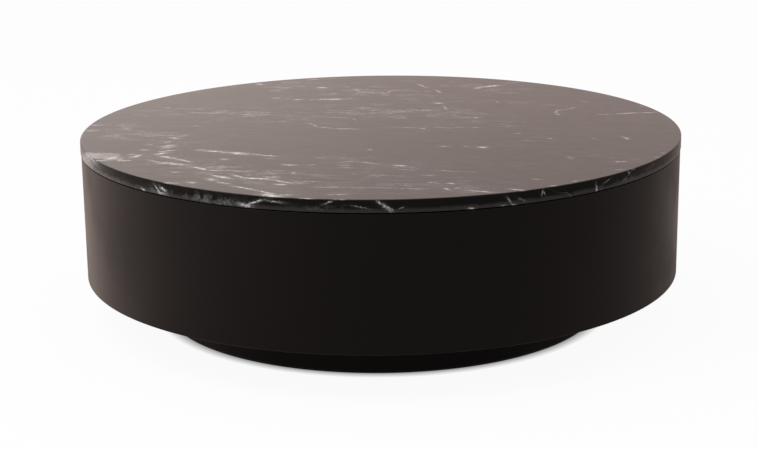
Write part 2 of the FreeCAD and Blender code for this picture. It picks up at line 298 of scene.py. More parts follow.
# %% Paper material
PAPER = grey(0.92)
PAPER_OWN_WHITE = 0.94
PAPER_BRIGHT = (1.0, 0.79, 0.72, 1.0)
PAPER_DIM = (0.46, 0.37, 0.34, 1.0)
PAPER_START, PAPER_FULL = -0.65, 0.65
# Painted shade: a dark paper colour under the plinth, and a painted contact shadow in the own white round its
# foot
PAINTED_GAP_SHADE = grey(0.1)
GAP_EDGE = 2.0 * MM
CONTACT_WHITE, CONTACT_REACH = 0.30, 20.0 * MM

paper = bpy.data.materials.new("white_paper")
paper.use_nodes = True
paper_tree = paper.node_tree
paper_tree.nodes.remove(paper_tree.nodes["Principled BSDF"])
seen, mirrored = ray_masks(paper_tree)
place = put(paper_tree, "ShaderNodeTexCoord").outputs["Object"]
from_axis = vector_maths("LENGTH", place)
# Painted shade: the own white fades out under the plinth and rises from a painted contact shadow round its
# foot
outside = ramp(from_axis, plinth_radius - GAP_EDGE, plinth_radius)
painted_contact_shadow = join("ShaderNodeMapRange", {
    "Value": from_axis, "From Min": plinth_radius, "From Max": plinth_radius + CONTACT_REACH,
    "To Min": CONTACT_WHITE, "To Max": PAPER_OWN_WHITE}).outputs["Result"]
open_paper = maths("MULTIPLY", outside, painted_contact_shadow)
seen = maths("MULTIPLY", seen, open_paper)

# Painted shade: the paper's colour is painted dark under the plinth
paper_colour = mix(outside, PAINTED_GAP_SHADE, PAPER)
lit_paper = join("ShaderNodeBsdfDiffuse", {"Color": paper_colour}).outputs[0]
own_white = put(paper_tree, "ShaderNodeEmission", {"Color": grey(1.0)}).outputs[0]
share = use(bright_side, Direction=place, Start=PAPER_START, Full=PAPER_FULL)["Share"]
mirrored_colour = mix(share, PAPER_DIM, PAPER_BRIGHT)
mirrored_paper = join("ShaderNodeEmission", {"Color": mirrored_colour}).outputs[0]
shown = join("ShaderNodeMixShader", {0: seen, 1: lit_paper, 2: own_white}).outputs[0]
shown = join("ShaderNodeMixShader", {0: mirrored, 1: shown, 2: mirrored_paper}).outputs[0]
link(shown, paper_tree.nodes["Material Output"].inputs["Surface"])
print("paper of", len(paper_tree.nodes), "nodes")

# %% Floor
FLOOR_HALF_WIDTH = 40.0

floor_mesh = bpy.data.meshes.new("floor")
floor_corners = FLOOR_HALF_WIDTH * np.array([[-1, -1, 0], [1, -1, 0], [1, 1, 0], [-1, 1, 0]])
floor_mesh.from_pydata(floor_corners.tolist(), [], [[0, 1, 2, 3]])
floor_mesh.materials.append(paper)
floor = bpy.data.objects.new("floor", floor_mesh)
bpy.context.scene.collection.objects.link(floor)
print("white paper floor,", 2 * FLOOR_HALF_WIDTH, "m square")

# %% Softbox, aimed at the middle of the table and not seen by the camera
SOFTBOX_PLACE = np.array([-1.5, -0.9, 2.6])
SOFTBOX_WIDTH = 1.8
SOFTBOX_WATTS = 32.0

lamp = bpy.data.lights.new("softbox", "AREA")
lamp.size = SOFTBOX_WIDTH
lamp.energy = SOFTBOX_WATTS
away = SOFTBOX_PLACE / np.linalg.norm(SOFTBOX_PLACE)
across = np.cross([0.0, 0.0, 1.0], away)
across = across / np.linalg.norm(across)
softbox_matrix = np.eye(4)
softbox_matrix[:3] = np.column_stack([across, np.cross(away, across), away, SOFTBOX_PLACE])
softbox = bpy.data.objects.new("softbox", lamp)
softbox.matrix_world = Matrix(softbox_matrix.tolist())
softbox.visible_camera = False
bpy.context.scene.collection.objects.link(softbox)
print("softbox of", SOFTBOX_WATTS, "W")

# %% [markdown]
# ## Surfaces on a grid
#
# Nearly everything here is turned: a profile carried round an axis. Blender has a Spin tool and a Screw
# modifier for that, but a grid of points in numpy gives the whole shape in one line, and lets a thread, a
# hexagon or a cross recess change the radius with the angle. Rows of the grid follow the profile and
# columns go round the axis. A row that lies on the axis becomes one point with a fan of triangles, so poles
# are closed.

# %% Rounded profiles


def rounded_profile(corners, closed=False, steps=6):
    """Points (radius, height) in metres of an outline of corners (radius, height, rounding) in millimetres.

    A rounding is an arc tangent to both sides: its centre is the corner moved along the bisector by rounding
    over the sine of half the angle, and its points turn evenly from one tangent point to the other.
    """
    corners = np.array(corners, dtype=float)
    outline = []
    for number, (*corner, rounding) in enumerate(corners):
        corner = np.array(corner)
        at_end = not closed and number in (0, len(corners) - 1)
        if at_end or rounding == 0:
            outline.append(corner[None])
            continue
        back = corners[number - 1, :2] - corner
        ahead = corners[(number + 1) % len(corners), :2] - corner
        back, ahead = back / np.linalg.norm(back), ahead / np.linalg.norm(ahead)
        half = np.arccos(np.dot(back, ahead)) / 2
        bisector = (back + ahead) / np.linalg.norm(back + ahead)
        centre = corner + bisector * rounding / np.sin(half)
        first = corner + back * rounding / np.tan(half) - centre
        last = corner + ahead * rounding / np.tan(half) - centre
        sweep = np.pi - 2 * half
        share = np.linspace(0, 1, steps + 1)[:, None]
        arc = np.sin((1 - share) * sweep) * first + np.sin(share * sweep) * last
        outline.append(centre + arc / np.sin(sweep))
    return np.concatenate(outline) * MM


square = [(0, 0, 0), (2, 0, 1), (2, 2, 0), (0, 2, 0)]
print("a square with one round corner takes", len(rounded_profile(square, closed=True)), "points")

# %% Turned grids
POINT_SIZE = 1e-9


def column_angles(columns):
    """Angles of a grid's columns, evenly round the axis."""
    return np.linspace(0, 2 * np.pi, columns, endpoint=False)


def turned(radius, height, columns):
    """Grid of points (r cos a, r sin a, z), from one radius and height per row, or per row and column."""
    angle = column_angles(columns)
    radius, height = np.broadcast_arrays(radius, height, subok=False)
    if radius.ndim == 1:
        radius, height = radius[:, None], height[:, None]
    return np.stack([radius * np.cos(angle), radius * np.sin(angle), height + 0 * angle], axis=-1)


def surface(points, closed=False):
    """Points, face corners, face sizes and face rows of a grid whose columns close into rings.

    A closed grid's last row joins its first, as round a ring's section. Rows without width shrink to a point.
    """
    rows, columns = points.shape[:2]
    index = np.arange(rows * columns).reshape(rows, columns)
    on_axis = np.ptp(points, axis=1).max(axis=1) < POINT_SIZE
    index[on_axis] = index[on_axis][:, :1]
    if closed:
        index = np.vstack([index, index[:1]])
    low, high = index[:-1], index[1:]
    next_low, next_high = np.roll(low, -1, axis=1), np.roll(high, -1, axis=1)
    corners = np.stack([low, next_low, next_high, high], axis=-1).reshape(-1, 4)
    keep = np.ones(corners.shape, bool)
    keep[:, 1] = corners[:, 0] != corners[:, 1]
    keep[:, 3] = corners[:, 2] != corners[:, 3]
    used, corner_list = np.unique(corners[keep], return_inverse=True)
    face_rows = np.repeat(np.arange(len(low)), columns)
    return points.reshape(-1, 3)[used], corner_list, keep.sum(axis=1), face_rows


def turned_surface(profile, columns, closed=False):
    """Surface of a profile of (radius, height) points, carried round the axis."""
    return surface(turned(profile[:, 0], profile[:, 1], columns), closed)


print("a turned point:", turned(np.array([1.0]), np.array([0.0]), 1)[0, 0])


# %% Copies and finished pieces


def scattered(shape, places):
    """The same surface at several places, each a 4 by 4 matrix, as one surface."""
    points, corners, sizes, rows = shape
    places = np.asarray(places)
    moved = np.einsum("kij,nj->kni", places[:, :3, :3], points) + places[:, None, :3, 3]
    offsets = np.arange(len(places))[:, None] * len(points)
    return (moved.reshape(-1, 3), (corners + offsets).ravel(), np.tile(sizes, len(places)),
            np.tile(rows, len(places)))


def place_at(angle, radius, sideways=0.0, height=0.0, points_up=False):
    """Matrix that moves a shape out along X and sideways along Y, then turns it about the table's axis.

    With points_up the shape is first turned over about its own X axis.
    """
    flip = np.diag([1.0, -1.0, -1.0, 1.0] if points_up else [1.0, 1.0, 1.0, 1.0])
    out = np.eye(4)
    out[:3, 3] = radius, sideways, height
    cosine, sine = np.cos(np.radians(angle)), np.sin(np.radians(angle))
    turn = np.eye(4)
    turn[:2, :2] = [[cosine, -sine], [sine, cosine]]
    return turn @ out @ flip


def add_piece(name, shape, materials, body, replaced, row_materials=None, sharp_angle=35.0):
    """Object of a surface, smooth but for sharp edges, that rides on a body in place of CAD nodes."""
    points, corners, sizes, rows = shape
    mesh = bpy.data.meshes.new(name)
    mesh.vertices.add(len(points))
    mesh.vertices.foreach_set("co", points.ravel())
    mesh.loops.add(len(corners))
    mesh.loops.foreach_set("vertex_index", corners.astype(np.int32))
    mesh.polygons.add(len(sizes))
    mesh.polygons.foreach_set("loop_start", (np.cumsum(sizes) - sizes).astype(np.int32))
    mesh.update(calc_edges=True)
    mesh.polygons.foreach_set("use_smooth", np.ones(len(sizes), bool))
    for material in materials:
        mesh.materials.append(material)
    if row_materials is not None:
        mesh.polygons.foreach_set("material_index", np.asarray(row_materials, np.int32)[rows])
    mesh.set_sharp_from_angle(angle=np.radians(sharp_angle))
    mesh.validate()
    piece = bpy.data.objects.new(name, mesh)
    bpy.context.scene.collection.objects.link(piece)
    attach(piece, body)
    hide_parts(*replaced)
    print(f"{name}: {len(points)} points, {len(sizes)} faces")


# %% [markdown]
# ## From the picture to the stone
#
# No two slabs of veined stone are alike, so a random pattern of veins would be another slab. The main veins
# are listed as strokes between two points of the picture, and a ray through each point finds where
# it lies on the slab: on the flat top, or on the round edge.

# %% Rays through picture points


def picture_rays(pixels):
    """Directions from the camera through picture points, x to the right and y down."""
    pixels = np.asarray(pixels, dtype=float)
    sideways = (pixels[..., :1] - IMAGE_WIDTH / 2) / FOCAL_PIXELS
    downwards = (pixels[..., 1:] - IMAGE_HEIGHT / 2) / FOCAL_PIXELS
    return forward + sideways * picture_right - downwards * picture_up


def on_top_face(pixels):
    """Where rays meet the plane of the slab's top: the ray is stretched until its height is right."""
    rays_out = picture_rays(pixels)
    return camera_place + rays_out * ((stone_top - camera_place[2]) / rays_out[..., 2:])


def on_edge(pixels):
    """Where rays first meet the slab's round edge: the nearer root of the circle's quadratic in x and y."""
    rays_out = picture_rays(pixels)
    flat = rays_out[..., :2]
    a = (flat ** 2).sum(axis=-1, keepdims=True)
    b = (flat * camera_place[:2]).sum(axis=-1, keepdims=True)
    c = (camera_place[:2] ** 2).sum() - stone_radius ** 2
    root = np.sqrt(np.maximum(b ** 2 - a * c, 0))
    return camera_place + rays_out * (-b - root) / a


print("picture centre meets the top at", on_top_face([[IMAGE_WIDTH / 2, IMAGE_HEIGHT / 2]]).round(3))

# %% [markdown]
# ## The stone's figure
#
# Black marble of this kind is nearly uniform, with white calcite in cracks: short dashes, a few long broken
# lines, one pale patch that runs over the rim, fine wisps gathered in places, and grey clouds on the edge.
# A stroke is a stretched ball: the position is moved, turned and scaled into the ball's own axes by a
# Mapping node, and a bell curve of the distance from its middle gives a bright core with a faint halo.
# Before that, the position wanders a little with noise, so no stroke is straight. A younger crack is
# shifted where it crosses an older one, so each stroke takes in the veins drawn before it.

# %% Vein strokes read from the picture: x and y of both ends, half width in millimetres, brightness
TOP_VEINS = (
    (108, 158.9, 116, 157.3, 4.2, 0.95), (92, 160.2, 108, 160.6, 1.8, 0.95),
    (116, 159.2, 124, 157.8, 1.2, 0.75), (128, 154.6, 135, 154.3, 2.2, 0.50),
    (132, 157.2, 140.5, 155.2, 4.0, 0.70), (143, 150.4, 147, 150, 2.0, 0.50),
    (205, 177, 238, 181, 14.0, 0.07), (255, 184, 300, 194, 14.0, 0.06), (150, 155, 180, 160, 14.0, 0.06),
    (420, 184, 500, 191, 12.0, 0.05), (110, 130, 170, 134, 9.0, 0.05), (470, 86, 500, 86, 9.0, 0.05),
    (90, 125, 104, 125, 1.6, 0.60), (84, 131, 98, 131, 1.8, 0.65), (108, 134, 172, 134, 0.9, 0.35),
    (164, 108, 170, 108, 1.6, 0.50), (165, 114, 182, 114, 1.1, 0.45), (194, 113, 227, 113, 1.7, 0.70),
    (192, 126, 200, 126, 1.1, 0.40), (204, 122, 210, 122, 1.1, 0.40), (183, 135, 187, 135, 1.4, 0.50),
    (140, 150, 148, 150, 1.8, 0.50), (148, 145, 152, 145, 1.8, 0.50), (170, 137.4, 178, 138.6, 2.2, 0.90),
    (162, 146.6, 172, 145.3, 3.2, 0.90), (164, 148, 169, 147.4, 3.0, 0.85),
    (172, 146.5, 175.5, 146.4, 2.2, 0.60), (165, 142.5, 169, 142, 2.6, 0.55),
    (155.5, 154.3, 166.5, 152.8, 3.4, 0.85), (160, 151.5, 165, 151.6, 2.0, 0.60),
    (166, 150.8, 174, 150.4, 2.4, 0.70), (162, 156.4, 176, 158.6, 3.2, 0.85),
    (176, 159, 191, 162, 2.2, 0.85), (149, 160, 162, 163, 2.0, 0.75), (158, 162.6, 186, 164.8, 4.2, 0.75),
    (191, 166.8, 207, 170, 2.6, 0.90), (207, 170, 224, 170.8, 2.0, 0.80), (223, 170, 250, 172, 1.5, 0.60),
    (196, 150, 204, 150, 2.0, 0.65), (207, 151, 219, 151.6, 3.6, 0.95), (218, 151.8, 231, 152.8, 2.0, 0.75),
    (230, 152.7, 247, 154, 4.4, 1.00), (247, 154, 280, 156.5, 1.8, 0.75), (172, 172, 180, 172, 2.0, 0.60),
    (211, 175, 229, 178, 3.2, 0.90), (187, 182.4, 195, 182.8, 2.4, 0.70), (163, 183, 176, 183.2, 2.6, 0.70),
    (209, 179, 213, 180, 5.0, 0.60), (220, 177, 231, 178.5, 3.0, 0.90), (218, 182, 229, 184, 2.2, 0.80),
    (258, 84, 261.5, 84.5, 3.5, 0.90), (271.5, 90.7, 280, 90.8, 1.6, 0.70),
    (309.5, 79.8, 316.5, 79.4, 3.0, 0.85), (316, 78.8, 339, 78.4, 1.1, 0.40),
    (320, 87.8, 324, 87.8, 4.0, 0.95), (305, 82.6, 323, 83.5, 0.9, 0.35), (274, 98, 278, 98, 2.5, 0.70),
    (285, 98, 291, 98, 1.3, 0.45), (296, 99.5, 301, 99.5, 3.0, 0.75), (309.5, 100, 316, 100, 1.4, 0.50),
    (320, 99.4, 325, 99.4, 3.2, 0.80), (329, 99.4, 342, 99.2, 4.0, 0.95),
    (347, 98.2, 355.5, 98.8, 1.5, 0.50), (344.5, 87, 351, 87, 1.1, 0.45), (354, 90, 358.5, 90, 2.8, 0.80),
    (363.5, 89.5, 376, 90.4, 1.4, 0.60), (368, 92.6, 375.5, 93.4, 1.6, 0.60),
    (380, 92.7, 386.5, 94, 1.8, 0.65), (386.5, 93.7, 392, 90.3, 1.6, 0.55),
    (231, 114.5, 307, 115.5, 0.9, 0.40), (320, 117, 351, 117.5, 1.0, 0.50),
    (351, 117.5, 356, 120.5, 0.9, 0.40), (304, 123.5, 312, 123.8, 1.3, 0.60),
    (312, 124, 318, 127, 1.4, 0.65), (318, 127, 335, 128.5, 1.3, 0.60), (335, 128.5, 358, 129, 1.7, 0.75),
    (324, 107.5, 332.5, 107.8, 1.0, 0.40), (352, 108, 400, 109.6, 1.2, 0.30),
    (266, 158.5, 276, 158.7, 1.1, 0.45), (316, 157.8, 327, 157.8, 1.3, 0.45),
    (224, 159.3, 226, 159.3, 3.0, 0.70), (285, 164.8, 295, 165.2, 2.6, 0.80),
    (308, 165.3, 316, 164.8, 1.4, 0.50), (270.5, 171, 283, 170.8, 1.3, 0.50),
    (260, 173.4, 269, 173.8, 1.3, 0.50), (293, 172.3, 293.5, 173.5, 2.5, 0.60),
    (339, 161.6, 358, 161.3, 1.3, 0.60), (358, 161.5, 383, 164.4, 1.5, 0.65),
    (394, 165.3, 404, 165.7, 2.6, 0.85), (338, 165.3, 350, 165.5, 1.3, 0.50),
    (338, 167.5, 355, 168.1, 1.1, 0.45), (368.5, 149.5, 370, 150, 2.0, 0.60),
    (233, 175, 243, 177.7, 2.2, 0.90), (242, 177.4, 271, 179.6, 2.5, 0.95),
    (270, 179.5, 294, 183.7, 2.2, 0.90), (293.5, 180.8, 323, 182, 1.4, 0.55),
    (276, 184, 285, 184.6, 2.8, 0.85), (312, 186.8, 345, 187.4, 1.5, 0.55),
    (345, 187.3, 400, 188, 1.1, 0.45), (233, 186, 258, 190.5, 1.9, 0.80),
    (257, 190.3, 277, 194.3, 2.0, 0.85), (266, 194.6, 276, 196.6, 7.0, 0.85),
    (278, 194.6, 293.5, 195.2, 1.6, 0.60), (328, 194.5, 346, 194.6, 1.6, 0.55),
    (298, 198, 315, 198.6, 1.5, 0.75), (335, 199.7, 344, 199.9, 1.5, 0.70),
    (401, 80.6, 419, 81.4, 1.0, 0.40), (418, 84, 428, 87.6, 1.5, 0.75), (435.5, 90, 440, 92.8, 1.6, 0.60),
    (475.6, 88.6, 483, 87.1, 3.0, 0.75), (482, 87.1, 498.4, 85.4, 4.2, 0.95),
    (504, 82.9, 520, 82.5, 1.4, 0.60), (434.5, 102.9, 442, 103.2, 2.8, 0.90),
    (444, 106, 447.5, 110, 1.5, 0.50), (496, 101, 499, 102.5, 1.5, 0.45),
    (390, 110.5, 420, 110.8, 1.0, 0.35), (420, 110.6, 432, 110.9, 1.4, 0.55),
    (447.5, 117.7, 475, 117.6, 1.0, 0.45), (475, 117.7, 478.5, 117.8, 2.2, 0.75),
    (447, 112.3, 496, 114, 0.9, 0.35), (390, 126.8, 421, 128, 1.1, 0.45),
    (421, 128.2, 425, 128.5, 2.0, 0.70), (425, 127, 473, 127.3, 0.9, 0.40),
    (473, 127.5, 477, 127.6, 1.7, 0.60), (501.7, 126, 517, 126.3, 1.0, 0.45),
    (516, 133.4, 520, 133.5, 1.8, 0.50), (440, 146.4, 448.5, 146.2, 1.7, 0.60),
    (463.7, 146, 472.4, 147.3, 1.3, 0.40), (481.5, 147.2, 483, 147.2, 3.6, 0.95),
    (397, 169.2, 417, 170, 1.1, 0.45), (436, 170.5, 459, 171.5, 1.1, 0.45),
    (459, 171.3, 477, 172.5, 1.0, 0.40), (421, 175.6, 435.5, 175.4, 1.2, 0.50),
    (429, 182.3, 435.5, 182.7, 1.5, 0.55), (448.5, 183.3, 453, 183.6, 2.2, 0.60),
    (401, 185.2, 412, 185.9, 1.2, 0.50), (400, 188.4, 433, 189, 1.3, 0.50),
    (444, 188.6, 449.5, 189.6, 2.2, 0.70), (455, 188, 459.4, 188, 2.2, 0.60),
    (466, 189.8, 475, 191, 1.8, 0.70), (474, 190.8, 493, 192.2, 2.3, 0.70),
    (511, 189.2, 525.5, 190.6, 2.0, 0.75), (535, 179.3, 541, 179.3, 1.8, 0.50),
    (550, 185.5, 556, 185.5, 1.5, 0.48), (521, 140.6, 535, 140.9, 1.1, 0.40),
    (554.4, 112.6, 556.5, 110.8, 1.6, 0.70), (556.3, 110.6, 569, 108.8, 1.4, 0.75),
    (569, 108.8, 576, 107.2, 1.3, 0.60), (556.5, 114, 559.6, 114.2, 1.9, 0.70),
    (580, 101, 589, 102.5, 1.1, 0.35), (595.5, 114.2, 611, 114.5, 1.2, 0.55),
    (616, 114, 626, 113.6, 1.4, 0.65), (624, 113.5, 637, 112.7, 2.0, 0.90),
    (641, 112.8, 656, 112.2, 1.9, 0.80), (638.5, 106.4, 643, 106.6, 1.3, 0.40),
    (623, 137, 628, 139, 2.0, 0.80), (549.6, 138.3, 552.4, 138.2, 1.9, 0.40),
    (590.7, 138.1, 597.4, 138.4, 1.1, 0.40), (567.7, 157.5, 570.6, 157.6, 2.0, 0.34),
    (616, 161.4, 624, 161.8, 2.0, 0.72), (607, 157.9, 616.5, 157.6, 1.0, 0.35),
    (632.8, 158.9, 641.4, 158.6, 1.1, 0.24), (656, 157.3, 658, 157.2, 1.7, 0.38),
    (663, 152.8, 664, 152.8, 1.9, 0.38), (616.5, 170, 622.3, 169.6, 1.7, 0.42),
    (571.6, 181.3, 578.3, 180.6, 1.7, 0.40),
)
WHITE_PATCH = (
    (80, 155.9, 112, 155.9, 17.0, 1.0), (104, 158.6, 122, 159.6, 6.0, 1.0),
    (116, 160.6, 131, 160.4, 4.0, 0.9), (112, 155.4, 120, 154.8, 5.0, 0.8),
    (82, 152.6, 92, 153.0, 3.5, 0.9),
)
WISP_PATCHES = (
    (92, 128, 185, 138, 36.0, 1.0), (165, 110, 310, 118, 42.0, 0.9), (275, 86, 420, 94, 42.0, 1.1),
    (310, 106, 490, 118, 46.0, 0.75), (150, 162, 330, 184, 34.0, 0.9), (330, 172, 500, 190, 34.0, 0.6),
    (330, 158, 420, 168, 22.0, 0.5), (440, 84, 520, 92, 28.0, 0.6), (480, 100, 600, 112, 30.0, 0.3),
)
EDGE_VEINS = (
    (82, 157, 94, 163, 14.0, 0.62), (84, 151, 97, 161, 12.0, 0.66), (155, 186, 160, 193, 2.2, 0.80),
    (160, 187, 166, 191, 2.2, 0.85), (157, 192, 166, 194, 1.6, 0.70), (141, 188, 145, 191, 1.8, 0.60),
    (243, 205.5, 264, 199.7, 1.8, 0.80), (240, 204, 251, 206.5, 3.0, 0.65), (266, 201, 283, 203, 1.5, 0.55),
    (323, 203.7, 332.5, 201, 1.1, 0.50), (377, 201, 383, 205.5, 2.2, 0.52),
    (383, 205.5, 391, 210.8, 3.2, 0.52), (352, 206, 367, 208.5, 1.1, 0.35), (390, 208, 394, 211, 1.4, 0.50),
    (399, 209, 404, 207.3, 1.1, 0.45), (468, 208.3, 473.5, 208.6, 1.4, 0.60),
    (500.6, 204.6, 507, 204.3, 1.4, 0.30), (508, 197.8, 512.5, 204, 1.9, 0.36),
    (512, 204, 517, 204.6, 1.7, 0.32), (519, 198.4, 524.5, 200.5, 1.5, 0.26),
    (542, 195, 543.5, 190, 0.9, 0.45), (543.5, 190, 545, 194.5, 0.9, 0.40),
    (596.4, 185, 597.3, 191.4, 1.5, 0.60), (604, 184, 611, 177.5, 0.9, 0.24),
    (628.5, 171.8, 629.4, 173.6, 1.4, 0.50),
)
EDGE_CLOUDS = (
    (96, 172, 128, 184, 9.0, 0.60), (140, 187, 176, 196, 9.0, 0.55), (184, 197, 216, 202, 11.0, 1.00),
    (218, 202, 238, 205, 11.0, 1.00), (618, 182, 638, 175, 7.0, 0.42), (640, 173, 662, 160, 7.0, 0.30),
    (300, 207, 345, 209, 5.0, 0.35),
)
print(len(TOP_VEINS), "veins on the top,", len(EDGE_VEINS), "on the edge,", len(EDGE_CLOUDS), "clouds,",
      len(WISP_PATCHES), "patches of wisps")

# %% One stroke as a node group
FAULT_SHIFT = (0.8 * MM, 0.8 * MM, 0.0)
BELL_STEEPNESS = 6.0

vein_stroke, stroke_in, stroke_out = new_group("vein_stroke", {
    "Position": ORIGIN, "Older Veins": 0.0, "Middle": ORIGIN, "Turn": ORIGIN, "Half Size": (1.0, 1.0, 1.0),
    "Strength": 1.0}, ["Veins"])
older_veins = stroke_in["Older Veins"]
faulted = vector_maths("MULTIPLY_ADD", older_veins, FAULT_SHIFT, stroke_in["Position"])
ball_axes = {"Vector": faulted, "Location": stroke_in["Middle"], "Rotation": stroke_in["Turn"],
             "Scale": stroke_in["Half Size"]}
in_ball = join("ShaderNodeMapping", ball_axes, vector_type="TEXTURE").outputs[0]
squares = vector_maths("MULTIPLY", in_ball, in_ball)
fourth_powers = vector_maths("DOT_PRODUCT", squares, squares)
falloff = maths("MULTIPLY_ADD", fourth_powers, BELL_STEEPNESS, 1.0)
bell = maths("DIVIDE", stroke_in["Strength"], falloff)
link(maths("MAXIMUM", bell, older_veins), stroke_out["Veins"])
print("a stroke takes", len(vein_stroke.nodes), "nodes")

# %% The strokes as balls on the slab
VEIN_DEPTH = 6.0 * MM
EDGE_STROKE_DEPTH = 6.0 * MM
BELL_WIDTH = 1.8


def picture_strokes(strokes, find):
    """Middle, turn, half run, half width and strength of strokes; X lies along the stroke."""
    strokes = np.array(strokes)
    start, end = find(strokes[:, 0:2]), find(strokes[:, 2:4])
    along = end - start
    level_run = np.hypot(along[:, 0], along[:, 1])
    slope = np.arctan2(along[:, 2], level_run)
    turn = np.stack([0 * slope, -slope, np.arctan2(along[:, 1], along[:, 0])], axis=-1)
    half_run = np.hypot(level_run, along[:, 2]) / 2
    return (start + end) / 2, turn, half_run, strokes[:, 4] * MM, strokes[:, 5]


def top_strokes(strokes):
    """Middle, turn, half sizes and strength of balls on the top, widened for the bell's tails."""
    middle, turn, half_run, half_width, strength = picture_strokes(strokes, on_top_face)
    half_width = half_width * BELL_WIDTH
    size = np.stack([half_run + half_width, half_width, VEIN_DEPTH + 0 * half_width], axis=-1)
    return middle, turn, size, strength


def edge_strokes(strokes):
    """The same on the round edge, where Y goes into the stone and Z is the stroke's width."""
    middle, turn, half_run, half_width, strength = picture_strokes(strokes, on_edge)
    size = np.stack([half_run + half_width, EDGE_STROKE_DEPTH + half_width, half_width], axis=-1)
    return middle, turn, size, strength


print("strokes are up to", (2 * top_strokes(TOP_VEINS)[2][:, 0].max()).round(3), "m long")

# %% The veins of each face as one group
WANDER_SCALE, WANDER = 22.0, 5.0 * MM
TOP_GRAIN = {"tremble_scale": 90.0, "tremble": 10.0 * MM, "crumb_scale": 150.0}
EDGE_GRAIN = {"tremble_scale": 220.0, "tremble": 4.0 * MM, "crumb_scale": 300.0}
CRUMB_RANGE, CRUMB_BRIGHT = (0.38, 0.60), 1.1
HALF = (0.5, 0.5, 0.5)


def wandering(place, grain):
    """The position moved by two sizes of colour noise: a channel, less its mean of a half, times a reach."""
    for scale, reach in ((WANDER_SCALE, WANDER), (grain["tremble_scale"], grain["tremble"])):
        push = vector_maths("SUBTRACT", noise(place, scale, output="Color"), HALF)
        place = vector_maths("MULTIPLY_ADD", push, (reach, reach, reach), place)
    return place


def vein_group(name, strokes, grain, thinnest=0.35):
    """The strokes of one face, one vein_stroke node each, crumbled by fine noise down to a thinnest share."""
    tree, given, result = new_group(name, {"Position": ORIGIN}, ["Vein"])
    place = wandering(given["Position"], grain)
    veins = 0.0
    for middle, turn, size, strength in zip(*(part.tolist() for part in strokes)):
        veins = use(vein_stroke, Position=place, Older_Veins=veins, Middle=middle, Turn=turn,
                    Half_Size=size, Strength=strength)["Veins"]
    crumbs = noise(given["Position"], grain["crumb_scale"], detail=3.0)
    crumbs = ramp(crumbs, *CRUMB_RANGE, thinnest, CRUMB_BRIGHT)
    link(maths("MULTIPLY", veins, crumbs), result["Vein"])
    print(f"{name}: {len(tree.nodes)} nodes")
    return tree


top_veins = vein_group("top_veins", top_strokes(TOP_VEINS), TOP_GRAIN, thinnest=0.50)
white_patch = vein_group("white_patch", top_strokes(WHITE_PATCH), TOP_GRAIN, thinnest=0.85)
wisp_patches = vein_group("wisp_patches", top_strokes(WISP_PATCHES), TOP_GRAIN)
edge_veins = vein_group("edge_veins", edge_strokes(EDGE_VEINS), EDGE_GRAIN)
edge_clouds = vein_group("edge_clouds", edge_strokes(EDGE_CLOUDS), EDGE_GRAIN)

# %% The ground between the veins: hairlines and wisps
STREAK_TURN = np.radians(8.0)
HAIRLINE_SCALE, HAIRLINE_DETAIL, HAIRLINE_WIDTH = (2.5, 9.0, 9.0), 5.0, 0.006
HAIRLINE_PATCH_SCALE, HAIRLINE_PATCHES, HAIRLINE_BRIGHTNESS = 9.0, (0.50, 0.66), 0.14
WISP_SCALE, WISP_DETAIL, WISP_WIDTH = (9.0, 42.0, 42.0), 6.0, 0.06
WISP_BREAK_SCALE, WISP_BREAKS, WISP_FAINTEST = 28.0, (0.40, 0.62), 0.1

stone_ground, ground_in, ground_out = new_group("stone_ground", {"Position": ORIGIN},
                                                ["Thread", "Wisp", "Streak", "Mottle"])
place = ground_in["Position"]
streak_axes = {"Vector": place, "Rotation": (0.0, 0.0, STREAK_TURN)}
along_streaks = join("ShaderNodeMapping", streak_axes).outputs[0]


def crack_lines(scale, detail, width):
    """Lines along the streaks, where noise stretched by a scale per axis is within a width of a half."""
    stretched = vector_maths("MULTIPLY", along_streaks, scale)
    from_half = maths("SUBTRACT", noise(stretched, 1.0, detail), 0.5)
    return ramp(maths("ABSOLUTE", from_half), width, 0.0)


hairlines = crack_lines(HAIRLINE_SCALE, HAIRLINE_DETAIL, HAIRLINE_WIDTH)
patch = noise(place, HAIRLINE_PATCH_SCALE)
patch = ramp(patch, *HAIRLINE_PATCHES, 0.0, HAIRLINE_BRIGHTNESS)
hairlines = maths("MULTIPLY", hairlines, patch)

wisps = crack_lines(WISP_SCALE, WISP_DETAIL, WISP_WIDTH)
broken = noise(place, WISP_BREAK_SCALE, detail=4.0)
broken = ramp(broken, *WISP_BREAKS, WISP_FAINTEST, 1.0)
link(maths("MULTIPLY", wisps, broken), ground_out["Wisp"])
print("hairlines and wisps of", len(stone_ground.nodes), "nodes")

# %% Flecks, streaks and mottle
FLECK_SCALE, FLECK_SIZE, FLECK_BRIGHTNESS, FLECK_CELLS = 75.0, 0.10, 0.45, (0.90, 0.97)
STREAK_SCALE, STREAK_RANGE = (30.0, 110.0, 40.0), (0.34, 0.72)
MOTTLE_SCALE = 60.0

fleck_place = wandering(place, EDGE_GRAIN)
cells = join("ShaderNodeTexVoronoi", {"Vector": fleck_place, "Scale": FLECK_SCALE}).outputs
cell_number = join("ShaderNodeSeparateXYZ", {0: cells["Color"]}).outputs[0]
flecks = ramp(cells["Distance"], FLECK_SIZE, FLECK_SIZE / 3, 0.0, FLECK_BRIGHTNESS)
flecks = maths("MULTIPLY", flecks, ramp(cell_number, *FLECK_CELLS))
link(maths("MAXIMUM", hairlines, flecks), ground_out["Thread"])

streak_place = vector_maths("MULTIPLY", along_streaks, STREAK_SCALE)
streaks = noise(streak_place, 1.0, detail=3.0)
link(ramp(streaks, *STREAK_RANGE), ground_out["Streak"])
link(noise(place, MOTTLE_SCALE, detail=4.0), ground_out["Mottle"])
print("stone ground of", len(stone_ground.nodes), "nodes")

